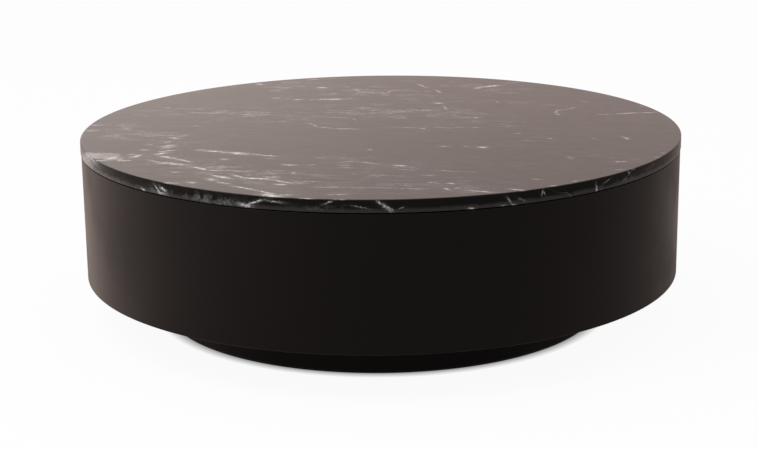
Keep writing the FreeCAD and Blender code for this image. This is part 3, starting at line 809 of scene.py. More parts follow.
# %% [markdown]
# ## Stone finishes
#
# The same figure has three finishes on one slab. The top is polished and, seen at a low angle, mirrors the
# white studio as a warm grey that the veins shine through. The edge is polished along its upper part and
# only honed below, where the stone looks greyer. The underside is sawn and has a glass-fibre net set in
# resin, which keeps a brittle black marble from breaking. The gloss is a plain number on each shader, and
# only what varies comes from the figure.

# %% Black stone, and the polished top
BLACK_STONE = (0.0055, 0.0052, 0.0050, 1.0)
BROWN_BLACK, BROWN_RANGE = (0.0090, 0.0080, 0.0074, 1.0), (0.35, 0.7)
STREAK_GREY, STREAK_SHARE = (0.0480, 0.0440, 0.0420, 1.0), 0.45
CALCITE = (0.68, 0.65, 0.63, 1.0)
WISP_SHARE = 0.45
PATCH_RIM, PATCH_BODY, PATCH_BRIGHTNESS = 0.36, 0.62, 0.36
PATCH_MOTTLE_RANGE, PATCH_MOTTLE = (0.35, 0.65), (0.75, 1.25)
POLISH_ROUGHNESS, VEIN_ROUGHNESS = 0.14, 0.24
POLISH_WAVE = 0.045 * MM


def black_stone(ground):
    """Black stone, browner in places, with faint grey streaks."""
    colour = mix(ramp(ground["Mottle"], *BROWN_RANGE), BLACK_STONE, BROWN_BLACK)
    return mix(maths("MULTIPLY", ground["Streak"], STREAK_SHARE), colour, STREAK_GREY)


def polished_top():
    """The polished face: veins take a little less polish than the black, and the pale patch is mottled."""
    material, shader, position = new_material("stone_polished", IOR=1.38)
    ground = use(stone_ground, Position=position)
    veins = use(top_veins, Position=position)["Vein"]
    gathered = use(wisp_patches, Position=position)["Vein"]
    wisps = maths("MULTIPLY", maths("MULTIPLY", gathered, ground["Wisp"]), WISP_SHARE)
    patch = use(white_patch, Position=position)["Vein"]
    patch = ramp(patch, PATCH_RIM, PATCH_BODY, 0.0, PATCH_BRIGHTNESS)
    mottle = ramp(ground["Mottle"], *PATCH_MOTTLE_RANGE, *PATCH_MOTTLE)
    patch = maths("MULTIPLY", patch, mottle)
    for marks in (ground["Thread"], wisps, patch):
        veins = maths("MAXIMUM", veins, marks)
    colour = mix(veins, black_stone(ground), CALCITE)
    roughness = between(veins, POLISH_ROUGHNESS, VEIN_ROUGHNESS)
    finish_shader(shader, colour, roughness, ground["Streak"], POLISH_WAVE)
    return material


stone_polished = polished_top()
print("polished:", len(stone_polished.node_tree.nodes), "nodes")

# %% Honed edge
HONED_GREY = (0.0200, 0.0205, 0.0195, 1.0)
CLOUD_GREY = (0.110, 0.116, 0.106, 1.0)
CLOUD_BREAK_SCALE, CLOUD_BREAKS = 120.0, (0.40, 0.62)
HONED_LOW, HONED_HIGH, RAGGED = 7.0 * MM, 13.0 * MM, 8.0 * MM
EDGE_POLISHED_ROUGHNESS, EDGE_HONED_ROUGHNESS = 0.28, 0.42
EDGE_RELIEF = 0.05 * MM


def honed_edge():
    """The edge: black where it is polished, greyer and sealed at its foot, with a ragged line between."""
    material, shader, position = new_material(
        "stone_honed", IOR=1.15, Coat_IOR=1.23, Coat_Roughness=0.42)
    ground = use(stone_ground, Position=position)
    height = join("ShaderNodeSeparateXYZ", {0: position}).outputs[2]
    ragged_height = maths("MULTIPLY_ADD", ground["Mottle"], RAGGED, height)
    honed = ramp(ragged_height, stone_bottom + HONED_HIGH, stone_bottom + HONED_LOW)
    colour = mix(honed, BLACK_STONE, HONED_GREY)
    breaks = ramp(noise(position, CLOUD_BREAK_SCALE, detail=4.0), *CLOUD_BREAKS)
    clouds = maths("MULTIPLY", use(edge_clouds, Position=position)["Vein"], breaks)
    colour = mix(clouds, colour, CLOUD_GREY)
    veins = use(edge_veins, Position=position)["Vein"]
    colour = mix(maths("MAXIMUM", veins, ground["Thread"]), colour, CALCITE)
    link(honed, shader.inputs["Coat Weight"])
    roughness = between(honed, EDGE_POLISHED_ROUGHNESS, EDGE_HONED_ROUGHNESS)
    finish_shader(shader, colour, roughness, ground["Mottle"], EDGE_RELIEF)
    return material


stone_honed = honed_edge()
print("honed:", len(stone_honed.node_tree.nodes), "nodes")

# %% Sawn underside
RESIN, RESIN_SHARE = (0.16, 0.165, 0.15, 1.0), 0.35
NET_PITCH, NET_SHARE, NET_RELIEF = 5.0 * MM, 0.5, 0.25 * MM
THREAD_EDGE, THREAD_CORE = 0.9 * MM, 0.3 * MM
SAWN_SMOOTH, SAWN_ROUGH = 0.45, 0.65


def sawn_underside():
    """Sawn stone under a net set in resin: two families of threads, each a narrow band in every pitch."""
    material, shader, position = new_material("stone_sawn", IOR=1.4)
    ground = use(stone_ground, Position=position)
    axes = join("ShaderNodeSeparateXYZ", {0: position}).outputs
    across = [maths("PINGPONG", axes[axis], NET_PITCH / 2) for axis in (0, 1)]
    net = maths("MAXIMUM", *(ramp(distance, THREAD_EDGE, THREAD_CORE) for distance in across))
    stone = mix(ground["Thread"], black_stone(ground), CALCITE)
    stone = mix(RESIN_SHARE, stone, RESIN)
    colour = mix(maths("MULTIPLY", net, NET_SHARE), stone, RESIN)
    roughness = spread(ground["Mottle"], SAWN_SMOOTH, SAWN_ROUGH)
    finish_shader(shader, colour, roughness, net, NET_RELIEF)
    return material


stone_sawn = sawn_underside()
print("sawn:", len(stone_sawn.node_tree.nodes), "nodes")

# %% [markdown]
# ## The slab
#
# Turned from its section: flat below, a small lower arris, the straight edge, a slightly larger polished
# arris and the flat top. The rows of the section decide which finish each face takes.

# %% Turn the slab
SLAB_COLUMNS = 480
UPPER_ARRIS = 2.0
LOWER_ARRIS = 1.5
FLAT_MARGIN = 1.0
POLISHED_BAND, SAWN_BAND = 0.6, 0.1
POLISHED, HONED, SAWN = 0, 1, 2

slab_low, slab_high = stone_bottom / MM, stone_top / MM
slab_rim = stone_radius / MM
slab_profile = rounded_profile([
    (0, slab_low, 0), (slab_rim - LOWER_ARRIS - FLAT_MARGIN, slab_low, 0), (slab_rim, slab_low, LOWER_ARRIS),
    (slab_rim, slab_low + LOWER_ARRIS + FLAT_MARGIN, 0), (slab_rim, slab_high - UPPER_ARRIS - FLAT_MARGIN, 0),
    (slab_rim, slab_high, UPPER_ARRIS), (slab_rim - UPPER_ARRIS - FLAT_MARGIN, slab_high, 0),
    (0, slab_high, 0)])
row_bottoms, row_tops = slab_profile[:-1, 1] / MM, slab_profile[1:, 1] / MM
slab_rows = np.where(row_tops < slab_low + SAWN_BAND, SAWN, HONED)
slab_rows = np.where(row_bottoms > slab_high - POLISHED_BAND, POLISHED, slab_rows)
add_piece("stone_slab", turned_surface(slab_profile, SLAB_COLUMNS), [stone_polished, stone_honed, stone_sawn],
          "top", ["stone_top"], slab_rows)

# %% [markdown]
# ## Sprayed lacquer
#
# Drum and plinth are sprayed, so up close they have a faint orange-peel texture, a gloss that varies in
# soft patches, and a little dust caught in the film. All three come from one group, used with a smoother,
# glossier film on the drum and a drier, matt one on the plinth and on the panel's painted underside. A low
# index of refraction keeps the film black where it is seen square on, while its silhouettes still pick up
# the white studio.

# %% Sprayed film group and lacquer materials
GLOSS_PATCH_SCALE, PATCH_TONE = 7.0, 0.7
DUST_SCALE, DUST_RANGE = 1500.0, (0.68, 0.80)

sprayed_film, film_in, film_out = new_group("sprayed_film", {"Position": ORIGIN, "Peel Scale": 400.0},
                                            ["Tone", "Gloss", "Height"])
patches = noise(film_in["Position"], GLOSS_PATCH_SCALE, detail=3.0)
dust = ramp(noise(film_in["Position"], DUST_SCALE, detail=1.0), *DUST_RANGE)
tone = maths("ADD", maths("MULTIPLY", patches, PATCH_TONE), dust)
link(tone, film_out["Tone"])
link(spread(patches), film_out["Gloss"])
peel = noise(film_in["Position"], film_in["Peel Scale"], detail=1.0)
link(peel, film_out["Height"])


def lacquer(name, dark, pale, ior, glossy, dry, peel_scale, peel_depth):
    """Sprayed black: two near-black tones, a gloss that wanders between two values, and orange peel."""
    material, shader, position = new_material(name, IOR=ior)
    film = use(sprayed_film, Position=position, Peel_Scale=peel_scale)
    colour = mix(film["Tone"], grey(dark), grey(pale))
    roughness = between(film["Gloss"], glossy, dry)
    finish_shader(shader, colour, roughness, film["Height"], peel_depth)
    return material


satin_black = lacquer("satin_black", dark=0.0010, pale=0.0022, ior=1.27, glossy=0.33, dry=0.41,
                      peel_scale=350.0, peel_depth=0.012 * MM)
matt_black = lacquer("matt_black", dark=0.0046, pale=0.0066, ior=1.17, glossy=0.55, dry=0.66,
                     peel_scale=600.0, peel_depth=0.020 * MM)
print("lacquers:", satin_black.name, matt_black.name)

# %% [markdown]
# ## Plywood and timber
#
# Inside, nothing is painted: birch plywood boards with their stacked plies showing on every cut edge, bent
# plywood with upright grain on the wall's inner face, and pine blocks. The grain is noise stretched along
# the fibres and folded into bands, with finer streaks over it. It needs to know which way each board lies,
# so the position is first measured along three axes of the board itself: along the grain, across it, and
# through the thickness.

# %% Wood groups
RING_STRETCH, RING_BANDS, RING_RANGE = (0.05, 1.0, 1.0), 9.0, (0.08, 0.46)
FIBRE_STRETCH, FIBRE_SCALE = (0.02, 1.0, 1.0), 1100.0
PLY_STEP, GLUE_STEP = (0.42, 0.58), (0.10, 0.03)

wood_grain, grain_in, grain_out = new_group("wood_grain", {"Position": ORIGIN, "Ring Scale": 20.0},
                                            ["Tone", "Fibre"])
stretched = vector_maths("MULTIPLY", grain_in["Position"], RING_STRETCH)
growth = noise(stretched, grain_in["Ring Scale"], detail=3.0)
rings = maths("PINGPONG", maths("MULTIPLY", growth, RING_BANDS), 0.5)
link(ramp(rings, *RING_RANGE), grain_out["Tone"])
stretched = vector_maths("MULTIPLY", grain_in["Position"], FIBRE_STRETCH)
link(noise(stretched, FIBRE_SCALE), grain_out["Fibre"])

ply_layers, layers_in, layers_out = new_group("ply_layers", {"Depth": 0.0, "Ply Thickness": 1.0 * MM},
                                              ["Cross Ply", "Glue"])
step = maths("DIVIDE", layers_in["Depth"], layers_in["Ply Thickness"])
fold = maths("PINGPONG", step, 1.0)
link(ramp(fold, *PLY_STEP), layers_out["Cross Ply"])
from_joint = maths("ABSOLUTE", maths("SUBTRACT", fold, 0.5))
link(ramp(from_joint, *GLUE_STEP), layers_out["Glue"])


def board_axes(vector, along, across, through):
    """A vector measured along a board's own axes: three dot products, combined."""
    parts = [vector_maths("DOT_PRODUCT", vector, axis) for axis in (along, across, through)]
    return join("ShaderNodeCombineXYZ", dict(enumerate(parts))).outputs[0]


def level_axes(angle):
    """Level unit vectors along an angle in degrees and square to it, and the upward one."""
    cosine, sine = float(np.cos(np.radians(angle))), float(np.sin(np.radians(angle)))
    return (cosine, sine, 0.0), (-sine, cosine, 0.0), (0.0, 0.0, 1.0)


print("wood groups:", wood_grain.name, ply_layers.name)

# %% Plywood
VENEER_PALE, VENEER_DARK = (0.66, 0.50, 0.33, 1.0), (0.50, 0.34, 0.20, 1.0)
PLY_PALE, PLY_DARK = (0.62, 0.46, 0.29, 1.0), (0.34, 0.21, 0.115, 1.0)
GLUE_LINE = (0.13, 0.07, 0.04, 1.0)
BOARD_THICKNESS, PLIES = 18.0 * MM, 13
RING_SHARE, FIBRE_RANGE, FIBRE_SHARE = 0.7, (0.35, 0.65), 0.35
EDGE_FIBRE_RANGE, EDGE_FIBRE_SHARE = (0.4, 0.7), 0.3
FACE_STEP = (0.5, 0.7)
PAINT_STEP = (-0.5, -0.7)
PAINT_DARK, PAINT_PALE = grey(0.002), grey(0.005)
VENEER_SMOOTH, VENEER_ROUGH, VENEER_RELIEF = 0.50, 0.68, 0.06 * MM


def wood_colour(grain, pale, dark):
    """Bands from pale to dark, streaked by the fibres."""
    streak = ramp(grain["Fibre"], *FIBRE_RANGE, 0.0, FIBRE_SHARE)
    return mix(streak, mix(maths("MULTIPLY", grain["Tone"], RING_SHARE), pale, dark), dark)


def plywood(name, along, across, through, painted_below=False):
    """Birch plywood: veneer on the two faces, plies on the edges, and paint on the underside if wanted."""
    material, shader, position = new_material(name, IOR=1.4)
    board = board_axes(position, along, across, through)
    depth = vector_maths("DOT_PRODUCT", position, through)
    normal = put(shader.id_data, "ShaderNodeNewGeometry").outputs["Normal"]
    square_on = vector_maths("DOT_PRODUCT", normal, through)
    face = ramp(maths("ABSOLUTE", square_on), *FACE_STEP)
    grain = use(wood_grain, Position=board, Ring_Scale=24.0)
    plies = use(ply_layers, Depth=depth, Ply_Thickness=BOARD_THICKNESS / PLIES)
    edge = mix(plies["Cross Ply"], PLY_PALE, PLY_DARK)
    edge = mix(plies["Glue"], edge, GLUE_LINE)
    edge = mix(ramp(grain["Fibre"], *EDGE_FIBRE_RANGE, 0.0, EDGE_FIBRE_SHARE), edge, PLY_DARK)
    colour = mix(face, edge, wood_colour(grain, VENEER_PALE, VENEER_DARK))
    if painted_below:
        film = use(sprayed_film, Position=position, Peel_Scale=600.0)
        paint = mix(film["Tone"], PAINT_DARK, PAINT_PALE)
        colour = mix(ramp(square_on, *PAINT_STEP), colour, paint)
    roughness = spread(grain["Fibre"], VENEER_SMOOTH, VENEER_ROUGH)
    finish_shader(shader, colour, roughness, grain["Fibre"], VENEER_RELIEF)
    return material


RIGHT, REAR, UP = (1.0, 0.0, 0.0), (0.0, 1.0, 0.0), (0.0, 0.0, 1.0)
flat_plywood = plywood("flat_plywood", RIGHT, REAR, UP)
painted_plywood = plywood("painted_plywood", REAR, RIGHT, UP, painted_below=True)
print("plywood:", flat_plywood.name, painted_plywood.name)

# %% Plain timber: pine, and the upright grain of the bent wall
PINE_PALE, PINE_DARK = (0.68, 0.49, 0.29, 1.0), (0.47, 0.28, 0.13, 1.0)
PINE_SMOOTH, PINE_ROUGH, PINE_RELIEF = 0.55, 0.75, 0.10 * MM


def pine(name, along, across, through):
    """Sawn pine, with growth rings round the grain axis and a slightly woolly surface."""
    material, shader, position = new_material(name, IOR=1.4)
    board = board_axes(position, along, across, through)
    grain = use(wood_grain, Position=board, Ring_Scale=38.0)
    colour = wood_colour(grain, PINE_PALE, PINE_DARK)
    roughness = spread(grain["Fibre"], PINE_SMOOTH, PINE_ROUGH)
    finish_shader(shader, colour, roughness, grain["Fibre"], PINE_RELIEF)
    return material


bent_plywood = pine("bent_plywood", UP, RIGHT, REAR)
upright_pine = pine("upright_pine", UP, RIGHT, REAR)
print("timber:", bent_plywood.name, upright_pine.name)

# %% Dress the boards and blocks that keep their own shapes
SQUARE_ANGLES = (0, 90, 180, 270)
DIAGONAL_ANGLES = (45, 135, 225, 315)
BETWEEN_ANGLES = tuple(22.5 + 45 * step for step in range(8))


def dress(material, *names):
    """Gives a material to every slot of these nodes."""
    for name in names:
        for material_slot in nodes[name].material_slots:
            material_slot.material = material


dress(flat_plywood, "top_ring", "plinth_top_ring", "plinth_bottom_ring")
dress(painted_plywood, "bottom_panel")
dress(upright_pine, "seam_post_right", "seam_post_left", "post_rear", "post_front")
for rib, rib_angle, first in (("cross_rib_slot_up", 45, 1), ("cross_rib_slot_down", 135, 3)):
    along, through, across = level_axes(rib_angle)
    dress(plywood(f"rib_plywood_{rib_angle}", along, across, through), rib)
    rib_pine = pine(f"block_pine_{rib_angle}", along, across, through)
    dress(rib_pine, *(f"glue_block_{number}" for number in (first, first + 1, first + 4, first + 5)))
for number, block_angle in enumerate(BETWEEN_ANGLES, start=1):
    across, along, through = level_axes(block_angle)
    dress(pine(f"plinth_pine_{number}", along, across, through), f"plinth_block_{number}")
print("boards and blocks dressed")

# %% [markdown]
# ## The drum's wall and the plinth's band
#
# The bent wall is made of two halves, but it is filled and sprayed over, so no seam shows outside. One ring
# of its section, turned all round, stands for both halves. The outside, the arrises and the upper edge are
# lacquered, and the inner face is bare plywood. The plinth's band is made the same way in its own black.

# %% Turn the wall and the band
WALL_THICKNESS = 12.0
WALL_ARRIS = 1.0
WALL_COLUMNS = 480


def turned_wall(name, radius, low, high, upper_arris, outside_material, replaced):
    """Ring of a wall's section: lacquer all round it but on the inner face, which is its last row."""
    radius, low, high = radius / MM, low / MM, high / MM
    inside = radius - WALL_THICKNESS
    lower_row, upper_row = low + WALL_ARRIS + FLAT_MARGIN, high - upper_arris - FLAT_MARGIN
    profile = rounded_profile([
        (inside, low, 0), (radius, low, WALL_ARRIS), (radius, lower_row, 0), (radius, upper_row, 0),
        (radius, high, upper_arris), (inside, high, 0)], closed=True)
    rows = np.zeros(len(profile), int)
    rows[-1] = 1
    shape = turned_surface(profile, WALL_COLUMNS, closed=True)
    add_piece(name, shape, [outside_material, bent_plywood], "base", replaced, rows)


turned_wall("drum_wall", drum_radius, drum_bottom, drum_top, WALL_ARRIS, satin_black,
            ["wall_front", "wall_rear"])
turned_wall("plinth_wall", plinth_radius, plinth_bottom, plinth_top, 0, matt_black,
            ["plinth_band"])

# %% [markdown]
# ## Steel, nylon and silicone
#
# The hardware is bought in: yellow-plated wood screws, blue-bright zinc bolts, nuts and studs, black nylon
# feet and bumpers of clear silicone, which looks milky where it is thick. One group gives the steels their
# smudged gloss, and another gives the moulded pieces their skin.

# %% Hardware materials
STEEL_PATCH_SCALE, SMUDGE_SCALE = 90.0, 260.0
STEEL_SMOOTH, STEEL_ROUGH = 0.26, 0.44
SKIN_PATCH_SCALE, SKIN_GRAIN_SCALE = 120.0, 1800.0

plated_steel, steel_in, steel_out = new_group("plated_steel", {"Position": ORIGIN}, ["Tone", "Gloss"])
tone = noise(steel_in["Position"], STEEL_PATCH_SCALE, detail=3.0)
link(spread(tone), steel_out["Tone"])
smudges = noise(steel_in["Position"], SMUDGE_SCALE, detail=4.0)
link(spread(smudges), steel_out["Gloss"])

moulded_skin, skin_in, skin_out = new_group("moulded_skin", {"Position": ORIGIN}, ["Tone", "Height"])
tone = noise(skin_in["Position"], SKIN_PATCH_SCALE, detail=3.0)
link(tone, skin_out["Tone"])
link(noise(skin_in["Position"], SKIN_GRAIN_SCALE), skin_out["Height"])


def steel(name, bright, dull):
    """Plated steel between two tones, with a gloss that smudges vary."""
    material, shader, position = new_material(name, Metallic=1.0)
    plating = use(plated_steel, Position=position)
    roughness = between(plating["Gloss"], STEEL_SMOOTH, STEEL_ROUGH)
    finish_shader(shader, mix(plating["Tone"], bright, dull), roughness)
    return material


def moulded(name, first, second, smooth, rough, grain_depth, **constants):
    """A moulded piece with a fine grain from its tool."""
    material, shader, position = new_material(name, **constants)
    skin = use(moulded_skin, Position=position)
    roughness = spread(skin["Tone"], smooth, rough)
    colour = mix(skin["Tone"], first, second)
    finish_shader(shader, colour, roughness, skin["Height"], grain_depth)
    return material


yellow_zinc = steel("yellow_zinc", bright=(0.66, 0.52, 0.27, 1.0), dull=(0.50, 0.40, 0.24, 1.0))
bright_zinc = steel("bright_zinc", bright=(0.60, 0.66, 0.71, 1.0), dull=(0.45, 0.50, 0.54, 1.0))
black_nylon = moulded("black_nylon", grey(0.014), grey(0.026), smooth=0.42, rough=0.55,
                      grain_depth=0.03 * MM, IOR=1.45)
clear_silicone = moulded("clear_silicone", (0.74, 0.76, 0.75, 1.0), (0.82, 0.84, 0.83, 1.0), smooth=0.18,
                         rough=0.30, grain_depth=0.01 * MM, IOR=1.41, Transmission_Weight=0.35)
print("hardware materials ready")

# %% [markdown]
# ## Threads, hexagons and recesses
#
# A thread is a radius that rises and falls along a helix: a triangle wave of height over pitch, less angle
# over a full turn. A hexagon is a radius that depends on the angle alone, and its chamfer a height that
# falls where that radius passes a circle. A cross recess is a depth under the head's face. With those three
# formulas, a whole screw or bolt is one grid of points, from its lower end on the axis to its upper end.

# %% Thread and hexagon rows
CHAMFER_CIRCLE = 0.95


def level_rows(pairs, columns):
    """Rows of constant radius and height, from (radius, height) pairs."""
    pairs = np.array(pairs, dtype=float)
    return np.repeat(pairs[:, :1], columns, axis=1), np.repeat(pairs[:, 1:], columns, axis=1)


def thread_rows(core, crest, low, high, pitch, columns, rows_per_turn=4):
    """Rows of a thread: radius = core + (crest - core) * triangle wave of (height / pitch - angle / turn)."""
    height = np.linspace(low, high, int((high - low) / pitch * rows_per_turn) + 1)[:, None]
    phase = (height / pitch - column_angles(columns) / (2 * np.pi)) % 1.0
    ridge = 1 - np.abs(2 * phase - 1)
    return core + (crest - core) * ridge, height + 0 * ridge


def hexagon_rows(across, low, high, columns, chamfer_high=True):
    """Rows up a hexagon: side radius = half across / cosine of the angle from the side's middle.

    A chamfered end starts at a circle, and falls thirty degrees where the side is further out than it. The
    lower end always has a chamfer.
    """
    side = across / 2 / np.cos(column_angles(columns) % (np.pi / 3) - np.pi / 6)
    circle = CHAMFER_CIRCLE * across / 2 + 0 * side
    fall = (side - circle) * np.tan(np.pi / 6)
    radius = [circle, side, side, circle]
    height = [low + 0 * side, low + fall, high - fall * chamfer_high, high + 0 * side]
    return np.array(radius), np.array(height)


def stacked(*sections):
    """One grid, in metres, from sections of rows in millimetres."""
    radius = np.concatenate([section[0] for section in sections]) * MM
    height = np.concatenate([section[1] for section in sections]) * MM
    return surface(turned(radius, height, radius.shape[1]))


print("fastener rows ready")

# %% A wood screw
SCREW_HEAD_RADIUS, SCREW_CREST, SCREW_CORE, SCREW_PITCH = 4.5, 2.25, 1.55, 2.2
SCREW_TIP, SCREW_NECK = 4.5, 1.5
SCREW_LENGTH, PLINTH_SCREW_LENGTH = 45.0, 35.9
HEAD_BEVEL_WIDTH, HEAD_BEVEL_HEIGHT = 0.1, 0.2
RECESS_REACH, RECESS_HALF_WIDTH, RECESS_DEPTH = 2.4, 0.75, 2.0
SCREW_COLUMNS = 36


def head_rows(columns, rings=9):
    """Rows from the head's rim to its middle, sunk by a cross: deep near either axis and near the middle."""
    radius = np.linspace(SCREW_HEAD_RADIUS, 0.0, rings)[:, None]
    angle = column_angles(columns)
    x, y = np.abs(radius * np.cos(angle)), np.abs(radius * np.sin(angle))
    in_arm = np.clip((RECESS_HALF_WIDTH - np.minimum(x, y)) / (RECESS_HALF_WIDTH / 2), 0, 1)
    in_reach = np.clip((RECESS_REACH - np.maximum(x, y)) / (RECESS_REACH / 2), 0, 1)
    return radius + 0 * angle, -RECESS_DEPTH * np.minimum(in_arm, in_reach)


def wood_screw(length):
    """Countersunk screw, with its head's face at height 0: tip, thread, cone and sunk face, from below."""
    columns = SCREW_COLUMNS
    tip_end, cone_foot = SCREW_TIP - length, SCREW_CREST - SCREW_HEAD_RADIUS
    thread_end = cone_foot - SCREW_NECK
    tip_radius, tip_height = thread_rows(SCREW_CORE, SCREW_CREST, -length, tip_end, SCREW_PITCH, columns)
    taper = np.clip((tip_height + length) / SCREW_TIP, 0, 1)
    thread = thread_rows(SCREW_CORE, SCREW_CREST, tip_end, thread_end, SCREW_PITCH, columns)
    cone = level_rows([(SCREW_CORE, thread_end), (SCREW_CREST, cone_foot),
                       (SCREW_HEAD_RADIUS - HEAD_BEVEL_WIDTH, -HEAD_BEVEL_HEIGHT)], columns)
    return stacked((tip_radius * taper, tip_height), thread, cone, head_rows(columns))


print("a screw has", len(wood_screw(SCREW_LENGTH)[0]), "points")

# %% Wood screws in the ring, the panel and the plinth
POST_RADIUS, POST_SPREAD = 480.0, 15.0
RIB_END_RADIUS, RIB_INNER_RADIUS = 445.0, 130.0
BLOCK_RADIUS, BLOCK_SPREAD = 340.5, 12.0


def places_at(angles, radius, sideways=(0.0,), height=0.0, points_up=False):
    """Matrices of copies at every angle and sideways step; the height is in metres, the others in mm."""
    return [place_at(angle, radius * MM, step * MM, height, points_up)
            for angle in angles for step in sideways]


def add_fixed(name, shape, places, material, node):
    """Copies of a shape as one piece of the base, in place of one CAD node."""
    add_piece(name, scattered(shape, places), [material], "base", [node])


ring_bottom = heights_of("plinth_bottom_ring")[0]
post_pair, middle = (-POST_SPREAD, POST_SPREAD), (0.0,)
ring_places = (places_at(SQUARE_ANGLES, POST_RADIUS, post_pair, drum_top)
               + places_at(DIAGONAL_ANGLES, RIB_END_RADIUS, middle, drum_top))
panel_places = (places_at(SQUARE_ANGLES, POST_RADIUS, post_pair, drum_bottom, points_up=True)
                + places_at(DIAGONAL_ANGLES, RIB_END_RADIUS, middle, drum_bottom, points_up=True)
                + places_at(DIAGONAL_ANGLES, RIB_INNER_RADIUS, middle, drum_bottom, points_up=True))
plinth_places = (places_at(BETWEEN_ANGLES, BLOCK_RADIUS, (-BLOCK_SPREAD,), plinth_top)
                 + places_at(BETWEEN_ANGLES, BLOCK_RADIUS, (BLOCK_SPREAD,), ring_bottom, points_up=True))
for group, length, places in (("ring", SCREW_LENGTH, ring_places), ("panel", SCREW_LENGTH, panel_places),
                              ("plinth", PLINTH_SCREW_LENGTH, plinth_places)):
    add_fixed(f"{group}_wood_screws", wood_screw(length), places, yellow_zinc,
              f"{group}_screws")

# %% Bolts and washers
BOLT_CREST, BOLT_CORE, BOLT_PITCH, BOLT_CHAMFER = 4.0, 3.35, 1.25, 1.0
BOLT_HEAD_ACROSS, BOLT_HEAD_HEIGHT, PLAIN_SHANK = 13.0, 5.3, 8.0
WASHER_HOLE, WASHER_RADIUS, STAMPED_EDGE = 4.5, 12.5, 0.5
PLINTH_RING_RADIUS = 318.0
BOLT_COLUMNS = 48


def heights_in_mm(node):
    """Lowest and highest point of a node, in millimetres."""
    low, high = heights_of(node)
    return low / MM, high / MM


def threaded_end(low, high):
    """Sections of a metric thread that ends in a chamfer and a flat upper face."""
    return (thread_rows(BOLT_CORE, BOLT_CREST, low, high - BOLT_CHAMFER, BOLT_PITCH, BOLT_COLUMNS),
            level_rows([(BOLT_CREST - BOLT_CHAMFER, high), (0, high)], BOLT_COLUMNS))


bolt_low, bolt_high = heights_in_mm("connector_bolts")
head_top = bolt_low + BOLT_HEAD_HEIGHT
shank_top = head_top + PLAIN_SHANK
bolt = stacked(level_rows([(0, bolt_low)], BOLT_COLUMNS),
               hexagon_rows(BOLT_HEAD_ACROSS, bolt_low, head_top, BOLT_COLUMNS, chamfer_high=False),
               level_rows([(BOLT_CREST, head_top), (BOLT_CREST, shank_top)], BOLT_COLUMNS),
               *threaded_end(shank_top, bolt_high))
bolt_places = places_at(SQUARE_ANGLES, PLINTH_RING_RADIUS)
add_fixed("hexagon_bolts", bolt, bolt_places, bright_zinc, "connector_bolts")

washer_low, washer_high = heights_in_mm("bolt_washers")
washer_profile = rounded_profile([
    (WASHER_HOLE, washer_low, STAMPED_EDGE), (WASHER_RADIUS, washer_low, STAMPED_EDGE),
    (WASHER_RADIUS, washer_high, 0), (WASHER_HOLE, washer_high, 0)], closed=True, steps=3)
washer = turned_surface(washer_profile, BOLT_COLUMNS, closed=True)
add_fixed("stamped_washers", washer, bolt_places, bright_zinc, "bolt_washers")

# %% Tee nuts, with four notches in the flange
NUT_BORE, NUT_BARREL, NUT_FLANGE_RADIUS, NUT_FLANGE = 4.1, 5.3, 11.3, 1.5
NUT_EDGE, NUT_MOUTH, FLANGE_BAND = 0.4, 0.6, 1.0
NOTCH_DEPTH, NOTCH_HALF_ANGLE = 3.2, np.radians(11.0)
NUT_COLUMNS = 120

nut_low, nut_high = heights_in_mm("tee_nuts")
flange_low = nut_high - NUT_FLANGE
nut_profile = rounded_profile([
    (NUT_BORE, nut_low, 0), (NUT_BARREL, nut_low, 0), (NUT_BARREL, flange_low, 0),
    (NUT_FLANGE_RADIUS, flange_low, 0), (NUT_FLANGE_RADIUS, nut_high, NUT_EDGE),
    (NUT_BORE, nut_high, NUT_MOUTH)], closed=True, steps=3)
from_notch = np.abs((column_angles(NUT_COLUMNS) + np.pi / 4) % (np.pi / 2) - np.pi / 4)
notch = NOTCH_DEPTH * np.clip((NOTCH_HALF_ANGLE - from_notch) / (NOTCH_HALF_ANGLE / 3), 0, 1)
in_flange = nut_profile[:, :1] > (NUT_FLANGE_RADIUS - FLANGE_BAND) * MM
nut_radius = nut_profile[:, :1] - in_flange * notch * MM
nut = surface(turned(nut_radius, nut_profile[:, 1:], NUT_COLUMNS), closed=True)
add_fixed("notched_tee_nuts", nut, bolt_places, bright_zinc, "tee_nuts")

# %% [markdown]
# ## Bumpers and levelling feet
#
# Twelve clear discs keep the slab from sliding and let it sit without rocking. Each levelling foot is a
# nylon pad with a socket, in which a steel stud swivels; a spanner on its hexagon winds the stud up and
# down in a threaded insert. Pad and stud ride on different bodies, so each is a piece of its own.

# %% Bumpers and inserts
BUMPER_RADIUS, BUMPER_EDGE = 6.0, 0.6
RING_BUMPER_RADIUS, RIB_BUMPER_RADIUS = 445.0, 200.0
BUMPER_COLUMNS = 40
INSERT_BORE, INSERT_RADIUS, INSERT_FLANGE_RADIUS, INSERT_FLANGE = 4.1, 6.1, 10.1, 1.5
INSERT_MOUTH, INSERT_EDGE = 0.4, 0.5

bumper_low, bumper_high = drum_top / MM, stone_bottom / MM
bumper_profile = rounded_profile([
    (0, bumper_low, 0), (BUMPER_RADIUS, bumper_low, 0), (BUMPER_RADIUS, bumper_high, BUMPER_EDGE),
    (0, bumper_high, 0)])
bumper = turned_surface(bumper_profile, BUMPER_COLUMNS)
bumper_places = places_at(BETWEEN_ANGLES, RING_BUMPER_RADIUS) + places_at(DIAGONAL_ANGLES, RIB_BUMPER_RADIUS)
add_fixed("clear_bumpers", bumper, bumper_places, clear_silicone, "stone_bumpers")

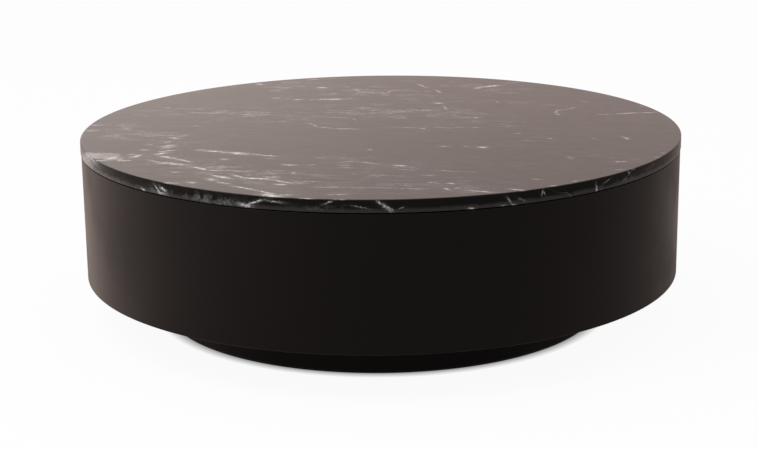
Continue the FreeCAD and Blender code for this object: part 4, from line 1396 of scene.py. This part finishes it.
insert_low, insert_high = heights_in_mm("foot_inserts")
flange_top = insert_low + INSERT_FLANGE
insert_profile = rounded_profile([
    (INSERT_BORE, insert_low, INSERT_MOUTH), (INSERT_FLANGE_RADIUS, insert_low, INSERT_EDGE),
    (INSERT_FLANGE_RADIUS, flange_top, 0), (INSERT_RADIUS, flange_top, 0),
    (INSERT_RADIUS, insert_high, INSERT_EDGE), (INSERT_BORE, insert_high, INSERT_MOUTH)],
    closed=True, steps=3)
insert = turned_surface(insert_profile, BOLT_COLUMNS, closed=True)
foot_places = places_at(DIAGONAL_ANGLES, PLINTH_RING_RADIUS)
add_fixed("threaded_inserts", insert, foot_places, bright_zinc, "foot_inserts")

# %% Pads and studs
PAD_RADIUS, PAD_RIM, PAD_COLLAR, PAD_HEIGHT, PAD_SOLE, PAD_EDGE = 16.0, 2.5, 9.0, 7.0, 2.5, 0.8
SPIGOT_RADIUS, SPIGOT_CHAMFER, SOCKET_RADIUS = 3.0, 0.4, 3.1
HEX_ACROSS, HEX_LOW, HEX_HIGH = 13.0, 7.3, 11.3
PAD_COLUMNS = 64

pad_profile = rounded_profile([
    (0, 0, 0), (PAD_RADIUS, 0, PAD_EDGE), (PAD_RADIUS, PAD_RIM, PAD_EDGE), (PAD_COLLAR, PAD_HEIGHT, PAD_EDGE),
    (SOCKET_RADIUS, PAD_HEIGHT, 0), (SOCKET_RADIUS, PAD_SOLE, 0), (0, PAD_SOLE, 0)])
pad = turned_surface(pad_profile, PAD_COLUMNS)
stud_top = heights_in_mm("foot_stud_front_left")[1]
spigot = [(0, PAD_SOLE), (SPIGOT_RADIUS - SPIGOT_CHAMFER, PAD_SOLE),
          (SPIGOT_RADIUS, PAD_SOLE + SPIGOT_CHAMFER), (SPIGOT_RADIUS, HEX_LOW)]
stud = stacked(level_rows(spigot, BOLT_COLUMNS),
               hexagon_rows(HEX_ACROSS, HEX_LOW, HEX_HIGH, BOLT_COLUMNS),
               *threaded_end(HEX_HIGH, stud_top))
for place, corner in zip(foot_places, ("rear_right", "rear_left", "front_left", "front_right")):
    add_piece(f"nylon_pad_{corner}", scattered(pad, [place]), [black_nylon], f"foot_{corner}",
              [f"foot_base_{corner}"])
    add_piece(f"threaded_stud_{corner}", scattered(stud, [place]), [bright_zinc], f"stud_{corner}",
              [f"foot_stud_{corner}"])
